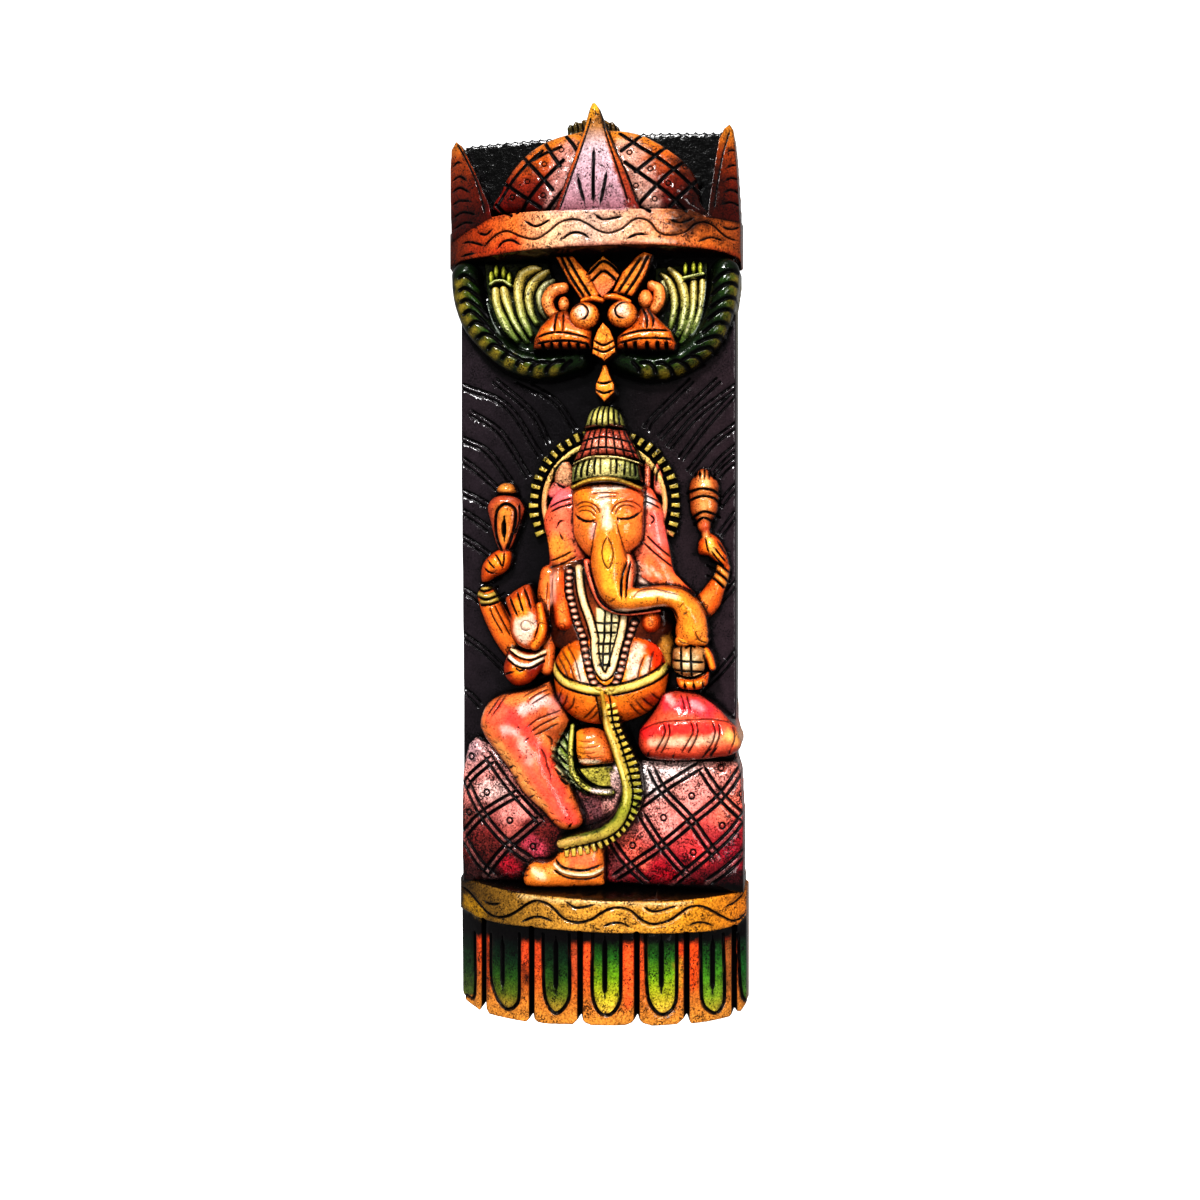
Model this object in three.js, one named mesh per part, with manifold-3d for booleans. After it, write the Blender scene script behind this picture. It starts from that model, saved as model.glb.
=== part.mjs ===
import * as THREE from 'three';
import { mergeVertices } from 'three/addons/utils/BufferGeometryUtils.js';
import Module from 'manifold-3d';

// A carved wooden wall panel: a seated elephant-headed figure under a crowned arch, cut from one
// thick plank with a flat back. Millimetres. The carving is laid out on the panel, x to the right
// and y up from the middle of the back, and z is the height above the back.

const wasm = await Module();
wasm.setup();

// Driving dimensions
const GROUND = 18;
const ROOT = 4;
const SKY = 90;
const PLANK = { left: -96.5, right: 96.5, low: -235, high: 293, rise: 4 };
const CROWN = { left: -103, right: 97, low: 211, high: 235.5, edge: 20, crest: 63 };
const BASE = { left: -96, right: 101, low: -244.5, high: -221, edge: 20, crest: 63 };
const LEAVES = { low: -305.5, high: -242, sunk: 3, rim: 7.5, gaps: [-79, -42.5, -9, 28.5, 60.5, 93] };
const QUILT = { pitch: 28, x: 1, y: 271, slope: 0.93 };
const ROPE = { wide: 14, side: 27, top: 38, lobes: 10 };
const HALO = { x: 4, y: 38, ring: 40.5, teeth: 48.5, reach: 4.5, count: 27 };
const HEAD_AXIS = 5;
const ARCH_AXIS = -1;
const PETAL_AXIS = 0.7;

// Tool marks
const GROOVE = { wide: 2.2, deep: 2.2 };
const LINE = { wide: 1.5, deep: 1.6 };
const SLIT = { wide: 2, deep: 6 };
const SEAM = { wide: 3, deep: 1.8 };

// Curves and outlines

function alongCurve(points, steps) {
  const route = new THREE.CatmullRomCurve3(points.map(([x, y, z = 0]) => new THREE.Vector3(x, y, z)));
  return route.getPoints(steps).map(({ x, y, z }) => [x, y, z]);
}

function smooth(points, count = points.length) {
  const ring = points.map(([x, y]) => new THREE.Vector3(x, y, 0));
  const route = new THREE.CatmullRomCurve3(ring, true);
  return route.getPoints(count).slice(0, count).map(({ x, y }) => [x, y]);
}

const across = (axis, points) => points.map(([x, ...rest]) => [2 * axis - x, ...rest]);
const bothSides = (axis, half) => [...half, ...across(axis, half).reverse()];

function ribbon(points, width) {
  const left = [];
  const right = [];
  points.forEach(([x, y], i) => {
    const [fromX, fromY] = points[Math.max(i - 1, 0)];
    const [toX, toY] = points[Math.min(i + 1, points.length - 1)];
    const scale = width / 2 / Math.hypot(toX - fromX, toY - fromY);
    const side = [(fromY - toY) * scale, (toX - fromX) * scale];
    left.push([x + side[0], y + side[1]]);
    right.push([x - side[0], y - side[1]]);
  });
  return [...left, ...right.reverse()];
}

// Solids

function solidOf(geometry) {
  geometry.deleteAttribute('normal');
  geometry.deleteAttribute('uv');
  const merged = mergeVertices(geometry, 1e-3);
  return new wasm.Manifold(new wasm.Mesh({
    numProp: 3,
    vertProperties: merged.attributes.position.array,
    triVerts: new Uint32Array(merged.index.array),
  }));
}

const join = (...solids) => solids.flat().reduce((whole, solid) => whole.add(solid));

function slab(outline, low, high) {
  const shape = new THREE.Shape(outline.map(([x, y]) => new THREE.Vector2(x, y)));
  const geometry = new THREE.ExtrudeGeometry(shape, { depth: high - low, bevelEnabled: false });
  return solidOf(geometry.translate(0, 0, low));
}

// Rings of [x, y, z] points, each anticlockwise seen from the last ring, with a cap at both ends
function loft(rings, cap) {
  const count = rings[0].length;
  const last = (rings.length - 1) * count;
  const faces = cap.flatMap(([a, b, c]) => [a, c, b, last + a, last + b, last + c]);
  for (let start = 0; start < last; start += count) {
    for (let i = 0; i < count; i++) {
      const here = start + i;
      const next = start + ((i + 1) % count);
      faces.push(here, next, next + count, here, next + count, here + count);
    }
  }
  return new wasm.Manifold(new wasm.Mesh({
    numProp: 3,
    vertProperties: new Float32Array(rings.flat(2)),
    triVerts: new Uint32Array(faces),
  }));
}

function nearest([x, y], spine) {
  let best = spine[0];
  let shortest = Infinity;
  for (let i = 0; i < Math.max(spine.length - 1, 1); i++) {
    const [fromX, fromY] = spine[i];
    const [toX, toY] = spine[Math.min(i + 1, spine.length - 1)];
    const square = (toX - fromX) ** 2 + (toY - fromY) ** 2 || 1;
    const along = ((x - fromX) * (toX - fromX) + (y - fromY) * (toY - fromY)) / square;
    const t = THREE.MathUtils.clamp(along, 0, 1);
    const point = [fromX + (toX - fromX) * t, fromY + (toY - fromY) * t];
    const distance = Math.hypot(x - point[0], y - point[1]);
    if (distance < shortest) {
      shortest = distance;
      best = point;
    }
  }
  return best;
}

// A form with an upright side that rounds over towards its spine, as carved relief does.
// With one step it has a flat top, with two or more it is round.
function mound(outline, spine, { side, top, foot = ROOT, steps = 1 }) {
  const full = steps > 1 ? 1.2 : 0.95;
  const flat = outline.map(([x, y]) => new THREE.Vector2(x, y));
  const edge = THREE.ShapeUtils.isClockWise(flat) ? [...outline].reverse() : outline;
  const rings = [edge.map(([x, y]) => [x, y, foot])];
  for (let step = 0; step <= steps; step++) {
    const turn = (full * step) / steps;
    const inset = 1 - Math.cos(turn);
    const height = side + ((top - side) * Math.sin(turn)) / Math.sin(full);
    rings.push(edge.map(([x, y]) => {
      const [coreX, coreY] = nearest([x, y], spine);
      return [x + (coreX - x) * inset, y + (coreY - y) * inset, height];
    }));
  }
  const cap = THREE.ShapeUtils.triangulateShape(edge.map(([x, y]) => new THREE.Vector2(x, y)), []);
  return loft(rings, cap);
}

function boss({ x, y, wide, high, side, top, turn = 0, count = 8 }) {
  const route = new THREE.EllipseCurve(x, y, wide, high, 0, 2 * Math.PI, false, turn);
  const edge = route.getPoints(count).slice(0, count).map((point) => [point.x, point.y]);
  return mound(edge, [[x, y]], { side, top });
}

// A tapered bar with a round top and upright sides, through stations of [x, y, half width, side, top]
function limb(stations, { sides = 3, steps = stations.length - 1, foot = ROOT } = {}) {
  const middle = alongCurve(stations, steps);
  const section = alongCurve(stations.map(([, , wide, side, top]) => [wide, side, top]), steps);
  const end = { shift: 0.7, size: 0.6 };
  const rings = [];
  middle.forEach(([x, y], i) => {
    const from = middle[Math.max(i - 1, 0)];
    const to = middle[Math.min(i + 1, steps)];
    const length = Math.hypot(to[0] - from[0], to[1] - from[1]);
    const way = [(to[0] - from[0]) / length, (to[1] - from[1]) / length];
    const [wide, side, top] = section[i];
    const ring = (shift, size) => {
      const place = (reach, z) => [
        x + way[0] * shift * wide - way[1] * reach,
        y + way[1] * shift * wide + way[0] * reach,
        z,
      ];
      const arc = Array.from({ length: sides + 1 }, (_, k) => {
        const turn = (Math.PI * k) / sides;
        return place(wide * size * Math.cos(turn), side + (top - side) * size * Math.sin(turn));
      });
      rings.push([...arc, place(-wide * size, foot), place(wide * size, foot)]);
    };
    if (i === 0) ring(-end.shift, end.size);
    ring(0, 1);
    if (i === steps) ring(end.shift, end.size);
  });
  const cap = Array.from({ length: sides + 1 }, (_, i) => [0, i + 1, i + 2]);
  return loft(rings, cap);
}

// A length of a round-fronted beam that lies across the panel
function beam({ left, right, edge, crest }, low, high, { chamfer = 0, facets = 4 } = {}) {
  const half = (right - left) / 2;
  const rise = crest - edge;
  const radius = (half ** 2 + rise ** 2) / (2 * rise);
  const reach = Math.asin(half / radius);
  const shape = new THREE.Shape();
  shape.moveTo(-half, 0);
  shape.lineTo(half, 0);
  shape.absarc(0, crest - radius, radius, Math.PI / 2 - reach, Math.PI / 2 + reach, false);
  const geometry = new THREE.ExtrudeGeometry(shape, {
    depth: high - low - 2 * chamfer,
    curveSegments: facets,
    bevelEnabled: chamfer > 0,
    bevelThickness: chamfer,
    bevelSize: chamfer,
    bevelOffset: -chamfer,
    bevelSegments: 1,
  });
  return solidOf(geometry.rotateX(Math.PI / 2).translate((left + right) / 2, high - chamfer, 0));
}

// Tool marks follow the surface of a form: cut into it, or left standing on it

const strokes = (routes, wide) => join(routes.map((route) => slab(ribbon(route, wide), 0, SKY)));

function engrave(form, routes, { wide, deep }) {
  const lowered = form.translate(0, 0, -deep);
  return form.subtract(strokes(routes, wide).subtract(lowered));
}

function emboss(form, routes, { wide, rise }) {
  const raised = form.translate(0, 0, rise);
  return form.add(raised.intersect(strokes(routes, wide)));
}

// The round-fronted bands, each with one wave groove along it
function waveBand(band, { middle, swing, pitch, crest }) {
  const steps = 14;
  const margin = 7;
  const span = band.right - band.left - 2 * margin;
  const wave = Array.from({ length: steps + 1 }, (_, i) => {
    const x = band.left + margin + (span * i) / steps;
    return [x, middle + swing * Math.cos((2 * Math.PI * (x - crest)) / pitch)];
  });
  return engrave(beam(band, band.low, band.high, { chamfer: 2 }), [wave], GROOVE);
}

// Crown: band, three petals and the quilted dome between them

function crown() {
  const band = waveBand(CROWN, { middle: 223.3, swing: 4.8, pitch: 43.3, crest: -12 });
  const half = [[28.5, 230], [28.5, 236], [21, 258.5], [13, 280.5], [5, 298], [2, 305]];
  const petalEdge = bothSides(PETAL_AXIS, half.map(([x, y]) => [PETAL_AXIS + x, y]));
  const petalSpine = [[PETAL_AXIS, 240], [PETAL_AXIS, 296]];
  const borders = [1, -1].map((side) => {
    const border = [[0, 294], [11, 272], [21, 238]];
    return border.map(([x, y]) => [PETAL_AXIS + side * x, y]);
  });
  const vein = [[0.5, 273], [0, 239]];
  const petal = mound(petalEdge, petalSpine, { side: 57, top: 61, foot: 0, steps: 2 });

  const sheath = beam({ ...CROWN, edge: CROWN.edge + 2 }, CROWN.low, 310, { facets: 2 });
  const left = [[-101.5, 232], [-101.5, 280], [-99, 293], [-96, 290], [-82, 265], [-73, 243], [-69, 232]];
  const right = [[97, 232], [95, 279], [92.5, 294], [90.5, 298], [86.5, 293], [80, 267], [75, 241],
    [74, 232]];
  const arcs = (x, side) => [0, 1].map((i) => {
    const y = 243 + 14 * i;
    const reach = side * (15 - 2.5 * i);
    return [[x, y], [x + reach / 2, y + 3], [x + reach, y - 1]];
  });
  const cornerPetal = (edge, marks) => engrave(slab(edge, 0, SKY).intersect(sheath), marks, GROOVE);

  const rim = smooth([[-68, 246], [-62, 262], [-49, 277], [-30, 287], [-8, 291], [13, 291], [34, 287],
    [53, 275.5], [65, 262], [70, 246], [70, 228], [-68, 228]], 14);
  const seams = [-2, -1, 0, 1, 2].flatMap((i) => [-1, 1].map((side) => {
    const x = QUILT.x + i * QUILT.pitch;
    return [[x - side * 37 / QUILT.slope, QUILT.y - 37], [x + side * 17 / QUILT.slope, QUILT.y + 17]];
  }));
  const swell = beam({ left: -80, right: 80, edge: 38, crest: 52 }, 225, 300, { facets: 1 });
  return [
    band,
    engrave(petal, [...borders, vein], GROOVE),
    cornerPetal(left, arcs(CROWN.left, 1)),
    cornerPetal(right, arcs(CROWN.right + 1, -1)),
    engrave(slab(rim, 0, SKY).intersect(swell), seams, GROOVE),
    slab([[-21, 280], [-20, 299], [-12, 302.5], [7, 302.5], [15, 297], [17, 280]], 0, 30),
  ];
}

// Arch: a pair of twisted ropes, fronds, and the two-snouted mask in the middle

function ropes() {
  const points = [[-91, 209], [-90.5, 194], [-88, 180], [-83, 166], [-75, 152], [-64, 142.5], [-51, 136.5],
    [-37, 134], [-24, 136], [-12, 142]];
  const route = new THREE.CatmullRomCurve3(points.map(([x, y]) => new THREE.Vector3(x, y, 0)));
  const lean = 1.05;
  return [1, -1].flatMap((side) => {
    const place = (outline) => (side > 0 ? outline : across(ARCH_AXIS, outline));
    const core = slab(ribbon(place(alongCurve(points, 7)), ROPE.wide), 0, ROPE.side);
    const lobes = Array.from({ length: ROPE.lobes + 1 }, (_, i) => {
      const at = route.getPointAt(i / ROPE.lobes);
      const way = route.getTangentAt(i / ROPE.lobes);
      const [[x, y]] = place([[at.x, at.y]]);
      const turn = Math.atan2(way.y, side * way.x) + side * lean;
      return boss({ x, y, wide: 11, high: 6.5, side: ROPE.side, top: ROPE.top, turn, count: 4 });
    });
    return [core, ...lobes];
  });
}

function fronds() {
  const stems = [
    [[-68, 189, 5.5, 26, 33], [-65, 172, 4.5, 26, 33], [-50, 150, 3, 22, 30]],
    [[-41, 201, 3, 24, 31], [-55, 202, 4, 25, 33], [-57.5, 181, 4, 25, 34], [-44, 154, 2.5, 22, 30]],
    [[-38, 196, 3, 23, 30], [-48.5, 186, 3.2, 24, 31], [-46, 168, 3, 24, 31], [-38, 158, 2.5, 22, 29]],
  ];
  const left = stems.map((stations) => limb(stations, { sides: 2 }));
  const right = stems.map((stations) => limb(across(1, stations), { sides: 2 }));
  const buds = [-68.5, 64.5].map((x) => boss({ x, y: 198, wide: 7, high: 7.5, side: 26, top: 34, count: 6 }));
  return [...left, ...right, ...buds];
}

function mask() {
  const chevron = (x, y, reach, drop) => [[x - reach, y - drop], [x, y], [x + reach, y - drop]];
  const halves = [1, -1].flatMap((side) => {
    const place = (points) => points.map(([x, y, ...rest]) => [HEAD_AXIS + side * x, y, ...rest]);
    const horn = place([[32.5, 205], [28, 189], [19.5, 179], [4, 179], [8, 190], [20, 208], [27, 209]]);
    const snoutEdge = place([[8, 151], [11, 143.5], [47, 142.5], [49, 148], [44, 159], [34, 170], [22, 173],
      [9, 166]]);
    const snout = mound(snoutEdge, place([[18, 156], [38, 151]]), { side: 40, top: 48 });
    const lip = place([[10, 149.5], [50, 149.5]]);
    const teeth = [18, 26, 34, 42].map((x) => place([[x, 140], [x, 148.5]]));
    const brow = place([[2, 177, 2.5, 40, 46], [10, 178.5, 3, 40, 48], [17, 177.5, 2.5, 40, 46]]);
    return [
      mound(horn, place([[12, 186], [26, 203]]), { side: 38, top: 46 }),
      engrave(engrave(snout, [lip], LINE), teeth, SLIT),
      boss({ x: HEAD_AXIS + side * 12.7, y: 166, wide: 10, high: 10, side: 46, top: 53, count: 9 }),
      boss({ x: HEAD_AXIS + side * 31.5, y: 178, wide: 8.5, high: 9.5, side: 33, top: 41 }),
      limb(brow, { sides: 2 }),
    ];
  });
  const lozenge = slab([[4.5, 209], [-6.5, 198.5], [4.5, 184], [15, 198.5]], ROOT, 42);
  const nose = slab([[4.5, 161], [-3, 150], [-3, 145], [5, 137], [13, 145], [13, 150]], ROOT, 50);
  const drop = slab([[2, 133], [6, 133], [9, 124], [13.5, 116], [5, 110], [-1.5, 116], [1, 124]], ROOT, 42);
  return [
    ...halves,
    engrave(lozenge, [chevron(4.5, 200, 12, 9)], LINE),
    engrave(nose, [chevron(5, 143.5, 10, -4)], LINE),
    engrave(drop, [chevron(5, 117.5, 8, -2)], LINE),
  ];
}

// Halo and headdress

function halo() {
  const { x, y, ring, teeth, reach, count } = HALO;
  const from = -0.33;
  const sweep = Math.PI + 0.7;
  const half = 0.012;
  const at = (radius, t) => {
    const turn = from + sweep * t;
    return [x + radius * Math.cos(turn), y + radius * Math.sin(turn)];
  };
  const band = Array.from({ length: 15 }, (_, i) => at(ring, i / 14));
  const rays = Array.from({ length: count }, (_, i) => {
    const t = i / (count - 1);
    const inner = teeth - reach;
    const outer = teeth + reach;
    const ray = [at(inner, t - half), at(outer, t - half), at(outer, t + half), at(inner, t + half)];
    return slab(ray, ROOT, 24.5);
  });
  const leftLobe = smooth([[-33, 48], [-32, 58], [-25, 68], [-17, 73], [-16, 60], [-20, 48]], 7);
  const rightLobe = smooth([[43, 48], [42, 58], [36, 68], [29, 73], [28, 60], [31, 48]], 7);
  return [
    slab(ribbon(band, 4.5), ROOT, 27),
    ...rays,
    mound(leftLobe, [[-25, 58]], { side: 24, top: 30 }),
    mound(rightLobe, [[36, 58]], { side: 24, top: 30 }),
  ];
}

function headdress() {
  const budEdge = [[-11, 93], [-9, 101], [-3.5, 106.5], [4, 109], [12, 106.5], [16.5, 101], [19, 93]];
  const ribs = [-1, 0, 1].map((i) => [[4 + 7.5 * i, 92], [4 + 5.5 * i, 107]]);
  const tierEdge = [[-8.5, 91], [22.5, 91], [25, 80], [28, 70], [-15, 70], [-12, 80]];
  const posts = [-1, 0, 1].map((i) => [[6.5 + 10 * i, 70], [6.5 + 7 * i, 91]]);
  const collar = alongCurve([[-16.5, 59.5], [-6, 64.5], [7, 66], [20, 64.5], [30.5, 59]], 8);
  const flutes = Array.from({ length: 6 }, (_, i) => {
    const lean = (i - 2.5) / 3;
    return [[7 + 21 * lean, 55 - 3 * Math.abs(lean)], [7 + 22.5 * lean, 74]];
  });
  const brim = [[-16, 51, 2.6, 46, 51], [7.5, 56, 2.8, 50, 55], [31.5, 52.5, 2.6, 46, 51]];
  return [
    engrave(mound(budEdge, [[4, 96]], { side: 28, top: 41 }), ribs, LINE),
    slab([[-12.5, 95], [-12.5, 89], [23, 89], [23, 95]], ROOT, 33),
    engrave(mound(tierEdge, [[2, 80], [11, 80]], { side: 36, top: 46 }), posts, LINE),
    engrave(slab(ribbon(collar, 12), ROOT, 50), flutes, LINE),
    limb(brim, { sides: 2, steps: 4 }),
  ];
}

// Head: face, ears and the trunk that turns to the bowl

function head() {
  const faceEdge = smooth([[-14, 50], [-15, 36], [-15.5, 20], [-12, 10], [-5, 1], [8, -8], [22, 1], [30, 10],
    [34, 20], [32, 34], [31, 50], [20, 55], [-3, 55]]);
  const eyes = [[[-13, 35], [-8.5, 31], [1.5, 28]], [[15, 30], [22.5, 29.5], [30.5, 35]]];
  const trunk = [[9.5, 32, 6, 44, 54.5], [9.5, 18, 9.5, 46, 58], [9, 4, 13, 46, 60], [8.5, -10, 9.5, 46, 60],
    [13, -21, 8.5, 46, 60], [27, -24.5, 7, 46, 60], [46, -22.5, 6.5, 44, 59], [59, -28, 8, 44, 58],
    [65, -40, 8.5, 44, 57], [66, -49, 10, 44, 56]];
  const leftEar = smooth([[-14, 50], [-26, 51], [-33, 44], [-37, 28], [-34.5, 8], [-34.5, -8], [-20, -3],
    [-6, 2], [-8, 30]], 11);
  const rightEar = smooth([[28, 54], [40, 51], [45, 40], [48, 20], [51.5, -3], [57, -14], [68, -27],
    [48, -22], [26, -16], [22, 4], [28, 30]], 13);
  return [
    engrave(mound(faceEdge, [[4, 22], [14, 22]], { side: 40, top: 54, steps: 2 }), eyes, LINE),
    limb(trunk),
    limb([[25, 2, 4.5, 42, 49], [19, -10, 4, 44, 52], [22, -24, 3.5, 42, 50]]),
    limb([[-5, 1, 3.5, 42, 50], [0.5, -12, 3.5, 42, 50], [6, -29, 3.5, 42, 50]]),
    mound(leftEar, [[-22, 36], [-22, 10]], { side: 28, top: 35 }),
    mound(rightEar, [[36, 36], [38, 0]], { side: 28, top: 35 }),
  ];
}

// Body: chest, belly with its belt, and the necklaces

function body() {
  const bellyEdge = smooth([[-34, -70], [-32, -88], [-22, -103], [-6, -109], [8, -111], [28, -107], [42, -96],
    [47, -76], [40, -56], [22, -44], [-8, -46], [-26, -54]]);
  const chestEdge = smooth([[-33, -15], [-33, -50], [0, -70], [40, -50], [43, -25], [5, -5]], 8);
  const torso = join(
    mound(bellyEdge, [[7, -76]], { side: 30, top: 58, steps: 2 }),
    mound(chestEdge, [[5, -35]], { side: 32, top: 42 }),
    limb([[-23, -14, 8, 32, 41], [-24, -28, 8, 34, 44], [-22, -42, 8, 34, 44]]),
    boss({ x: 34, y: -38, wide: 9, high: 10, side: 34, top: 44 }),
  );
  const belt = alongCurve([[-36, -72], [-17, -83], [3.5, -87.5], [10.5, -87], [30, -81], [49, -69]], 6);
  const beads = alongCurve([[-18.5, 0], [-17, -36.5], [-6.5, -60], [-0.5, -79], [9, -82.5], [15, -78],
    [21, -62], [25, -38]], 8);
  const bib = slab([[0, -30], [15.5, -30], [15, -58], [11, -68], [5, -68], [1, -58]], ROOT, 45);
  return emboss(emboss(torso, [belt], { wide: 4.5, rise: 1.8 }), [beads], { wide: 4.2, rise: 2.2 }).add(bib);
}

// Arms, hands and what they hold

function raisedArm() {
  const palmEdge = smooth([[-64, -26], [-60, -19], [-50.5, -14], [-46, -13.5], [-42, -25], [-40, -36],
    [-36, -52], [-48.5, -59], [-58, -52], [-61, -40]], 12);
  const fingers = [[[-58, -17], [-55, -34]], [[-53.5, -15], [-51, -33]], [[-49, -13], [-47, -32]]];
  const elbow = smooth([[-65, -74], [-63, -84], [-53, -87], [-41, -80], [-38, -62], [-61, -60]], 9);
  return [
    engrave(mound(palmEdge, [[-52, -28], [-48, -48]], { side: 40, top: 46 }), fingers, LINE),
    limb([[-41.5, -53, 4.5, 40, 47], [-37.5, -42, 3.8, 40, 47], [-35, -31, 3.2, 39, 45]]),
    mound(elbow, [[-52, -74]], { side: 34, top: 42 }),
    limb([[-34, -16, 7, 28, 36], [-38, -34, 6, 28, 36], [-37, -60, 6, 28, 36], [-36, -84, 6, 28, 36]]),
  ];
}

function rearArms() {
  const leftFist = smooth([[-82, -12], [-80.5, 0], [-74, 7], [-65, 11], [-60, 6], [-61, -3], [-69, -7],
    [-78, -14]], 9);
  const rightFist = smooth([[68, 18], [76, 20], [84, 12], [88, 2], [87.5, -5], [78, 0], [68.5, 7]], 9);
  return [
    limb([[-56, -54, 9, 22, 29], [-70, -32, 8.5, 22, 30], [-77, -19, 7.5, 22, 29]]),
    mound(leftFist, [[-72, 0]], { side: 24, top: 32 }),
    limb([[70, -38, 7, 22, 29], [77, -24, 9, 22, 30], [82, -12, 7.5, 22, 29]]),
    mound(rightFist, [[78, 8]], { side: 24, top: 32 }),
  ];
}

function heldThings() {
  const loopEdge = [[-70, 48.5], [-77.5, 40], [-75, 27], [-69, 9], [-60.5, 9], [-54, 26], [-51, 38],
    [-58, 48]];
  const loop = mound(loopEdge, [[-64.5, 38], [-64.5, 20]], { side: 28, top: 31 });
  return [
    engrave(loop, [[[-64.8, 33], [-64.8, 15]]], { wide: 3, deep: 8 }),
    boss({ x: -64, y: 51.5, wide: 7, high: 5, side: 24, top: 31 }),
    limb([[72.5, 60, 8, 24, 30], [71.5, 50, 10, 25, 33], [71.5, 44, 9, 24, 31]]),
    limb([[71.5, 41, 9, 24, 31], [72, 35, 9.5, 25, 33], [73, 22, 3.5, 24, 29]]),
  ];
}

function bowlHand() {
  const bowl = boss({ x: 62, y: -66, wide: 10.5, high: 10, side: 46, top: 53, turn: Math.PI / 8 });
  const knuckles = smooth([[54, -74], [54, -84.5], [75, -85], [75.5, -74]], 8);
  const gaps = [61.5, 68.5].map((x) => [[x, -73], [x, -87]]);
  return [
    engrave(bowl, [[[50, -66], [74, -66]]], LINE),
    engrave(mound(knuckles, [[60, -80], [70, -80]], { side: 42, top: 48 }), gaps, LINE),
    limb([[73, -56, 3, 42, 48], [77, -67, 2.8, 42, 47]], { steps: 2 }),
    limb([[41, -36, 6, 28, 36], [44, -52, 7, 28, 36], [46, -64, 7, 28, 36]]),
  ];
}

// Legs, the sash that hangs between them and the quilted seat

function legs() {
  const hangingEdge = smooth([[-34, -78], [-52, -82.5], [-69, -89], [-79.5, -99], [-81, -111], [-72.5, -129],
    [-56.5, -151], [-40, -169], [-28, -182], [-12, -182], [-15, -165], [-20, -152], [-28, -132],
    [-23, -118], [-18, -107], [-24, -96]], 17);
  const hangingSpine = [[-36, -94], [-62, -106], [-44, -140], [-22, -174]];
  const hangingFolds = [[[-60, -124], [-34, -100]], [[-52, -130], [-26, -106]], [[-72, -104], [-48, -94]]];
  const foldedEdge = smooth([[40, -90], [50, -85], [68.5, -87.5], [83, -96], [95, -107.5], [100.5, -117],
    [97, -126], [72, -132.5], [50, -134], [34, -133.5], [26, -123], [22, -114], [30, -104]], 14);
  const foldedFolds = [45, 62, 79].map((x) => [[x, -102], [x - 3, -134]]);
  const footEdge = smooth([[-49, -215], [-47, -209], [-34, -202], [-27, -192], [4, -192], [5.5, -205],
    [4, -217.5], [-41, -218.5]], 11);
  const anklet = [[-31, -199], [-14, -207], [7, -204]];
  const soleEdge = smooth([[-15.5, -113], [2, -111], [10, -119], [12.5, -128], [10, -137.5], [-13, -137.5],
    [-17, -126]], 9);
  const leg = { side: 36, top: 52, foot: 0, steps: 2 };
  return [
    engrave(mound(hangingEdge, hangingSpine, leg), hangingFolds, LINE),
    engrave(mound(foldedEdge, [[38, -116], [84, -114]], leg), foldedFolds, LINE),
    engrave(mound(footEdge, [[-30, -210], [-4, -205]], { side: 38, top: 50, steps: 2 }), [anklet], LINE),
    mound(soleEdge, [[-3, -124]], { side: 34, top: 43 }),
  ];
}

function sash() {
  const fall = alongCurve([[3.5, -88], [5, -102], [12, -117], [20, -136], [22, -152], [17, -168],
    [4, -181], [-12, -186], [-29, -187]], 11);
  const fringe = alongCurve([[10, -97], [19, -114], [26, -133], [28.5, -152], [23, -170], [9, -185],
    [-10, -192], [-29, -193.5]], 10);
  const loop = alongCurve([[-18, -111], [-22, -124], [-20.5, -141], [-11, -152], [9, -155]], 7);
  const leaf = smooth([[-18, -109], [-23, -118], [-31, -134], [-21, -146], [-13, -157], [6, -160],
    [-12, -152]], 9);
  return [
    slab(ribbon(fall, 8.5), ROOT, 49),
    slab(ribbon(fringe, 6), ROOT, 46),
    slab(ribbon(loop, 5), ROOT, 38),
    slab(leaf, ROOT, 35),
    slab([[-12, -137], [10, -137], [10, -155], [-8, -153]], ROOT, 32),
  ];
}

function seat() {
  const leftEdge = [[-80, -108], [-88, -118], [-93, -126], [-97, -136], [-98, -160], [-97.5, -212],
    [-90, -221], [-20, -222], [-20, -180], [-60, -130]];
  const rightEdge = [[97, -126], [99, -140], [100, -180], [101, -214], [98, -222], [-10, -222], [-10, -190],
    [24, -170], [24, -126]];
  const rise = { x: 19.5, y: 17 };
  const fall = { x: 19.5, y: -21 };
  const count = 4;
  const seams = (x, y) => [[rise, fall], [fall, rise]].flatMap(([step, way]) => (
    Array.from({ length: count }, (_, i) => {
      const shift = i - (count - 1) / 2;
      const middle = [x + step.x * shift, y + step.y * shift];
      return [-count, count].map((reach) => [middle[0] + way.x * reach, middle[1] + way.y * reach]);
    })
  ));
  const left = mound(leftEdge, [[-70, -160], [-60, -200]], { side: 26, top: 35, foot: 0 });
  const right = mound(rightEdge, [[55, -150], [55, -200]], { side: 28, top: 38, foot: 0 });
  return [engrave(left, seams(-61, -157), SEAM), engrave(right, seams(44, -173), SEAM)];
}

// Base: waved band over a row of hanging leaves

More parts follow.
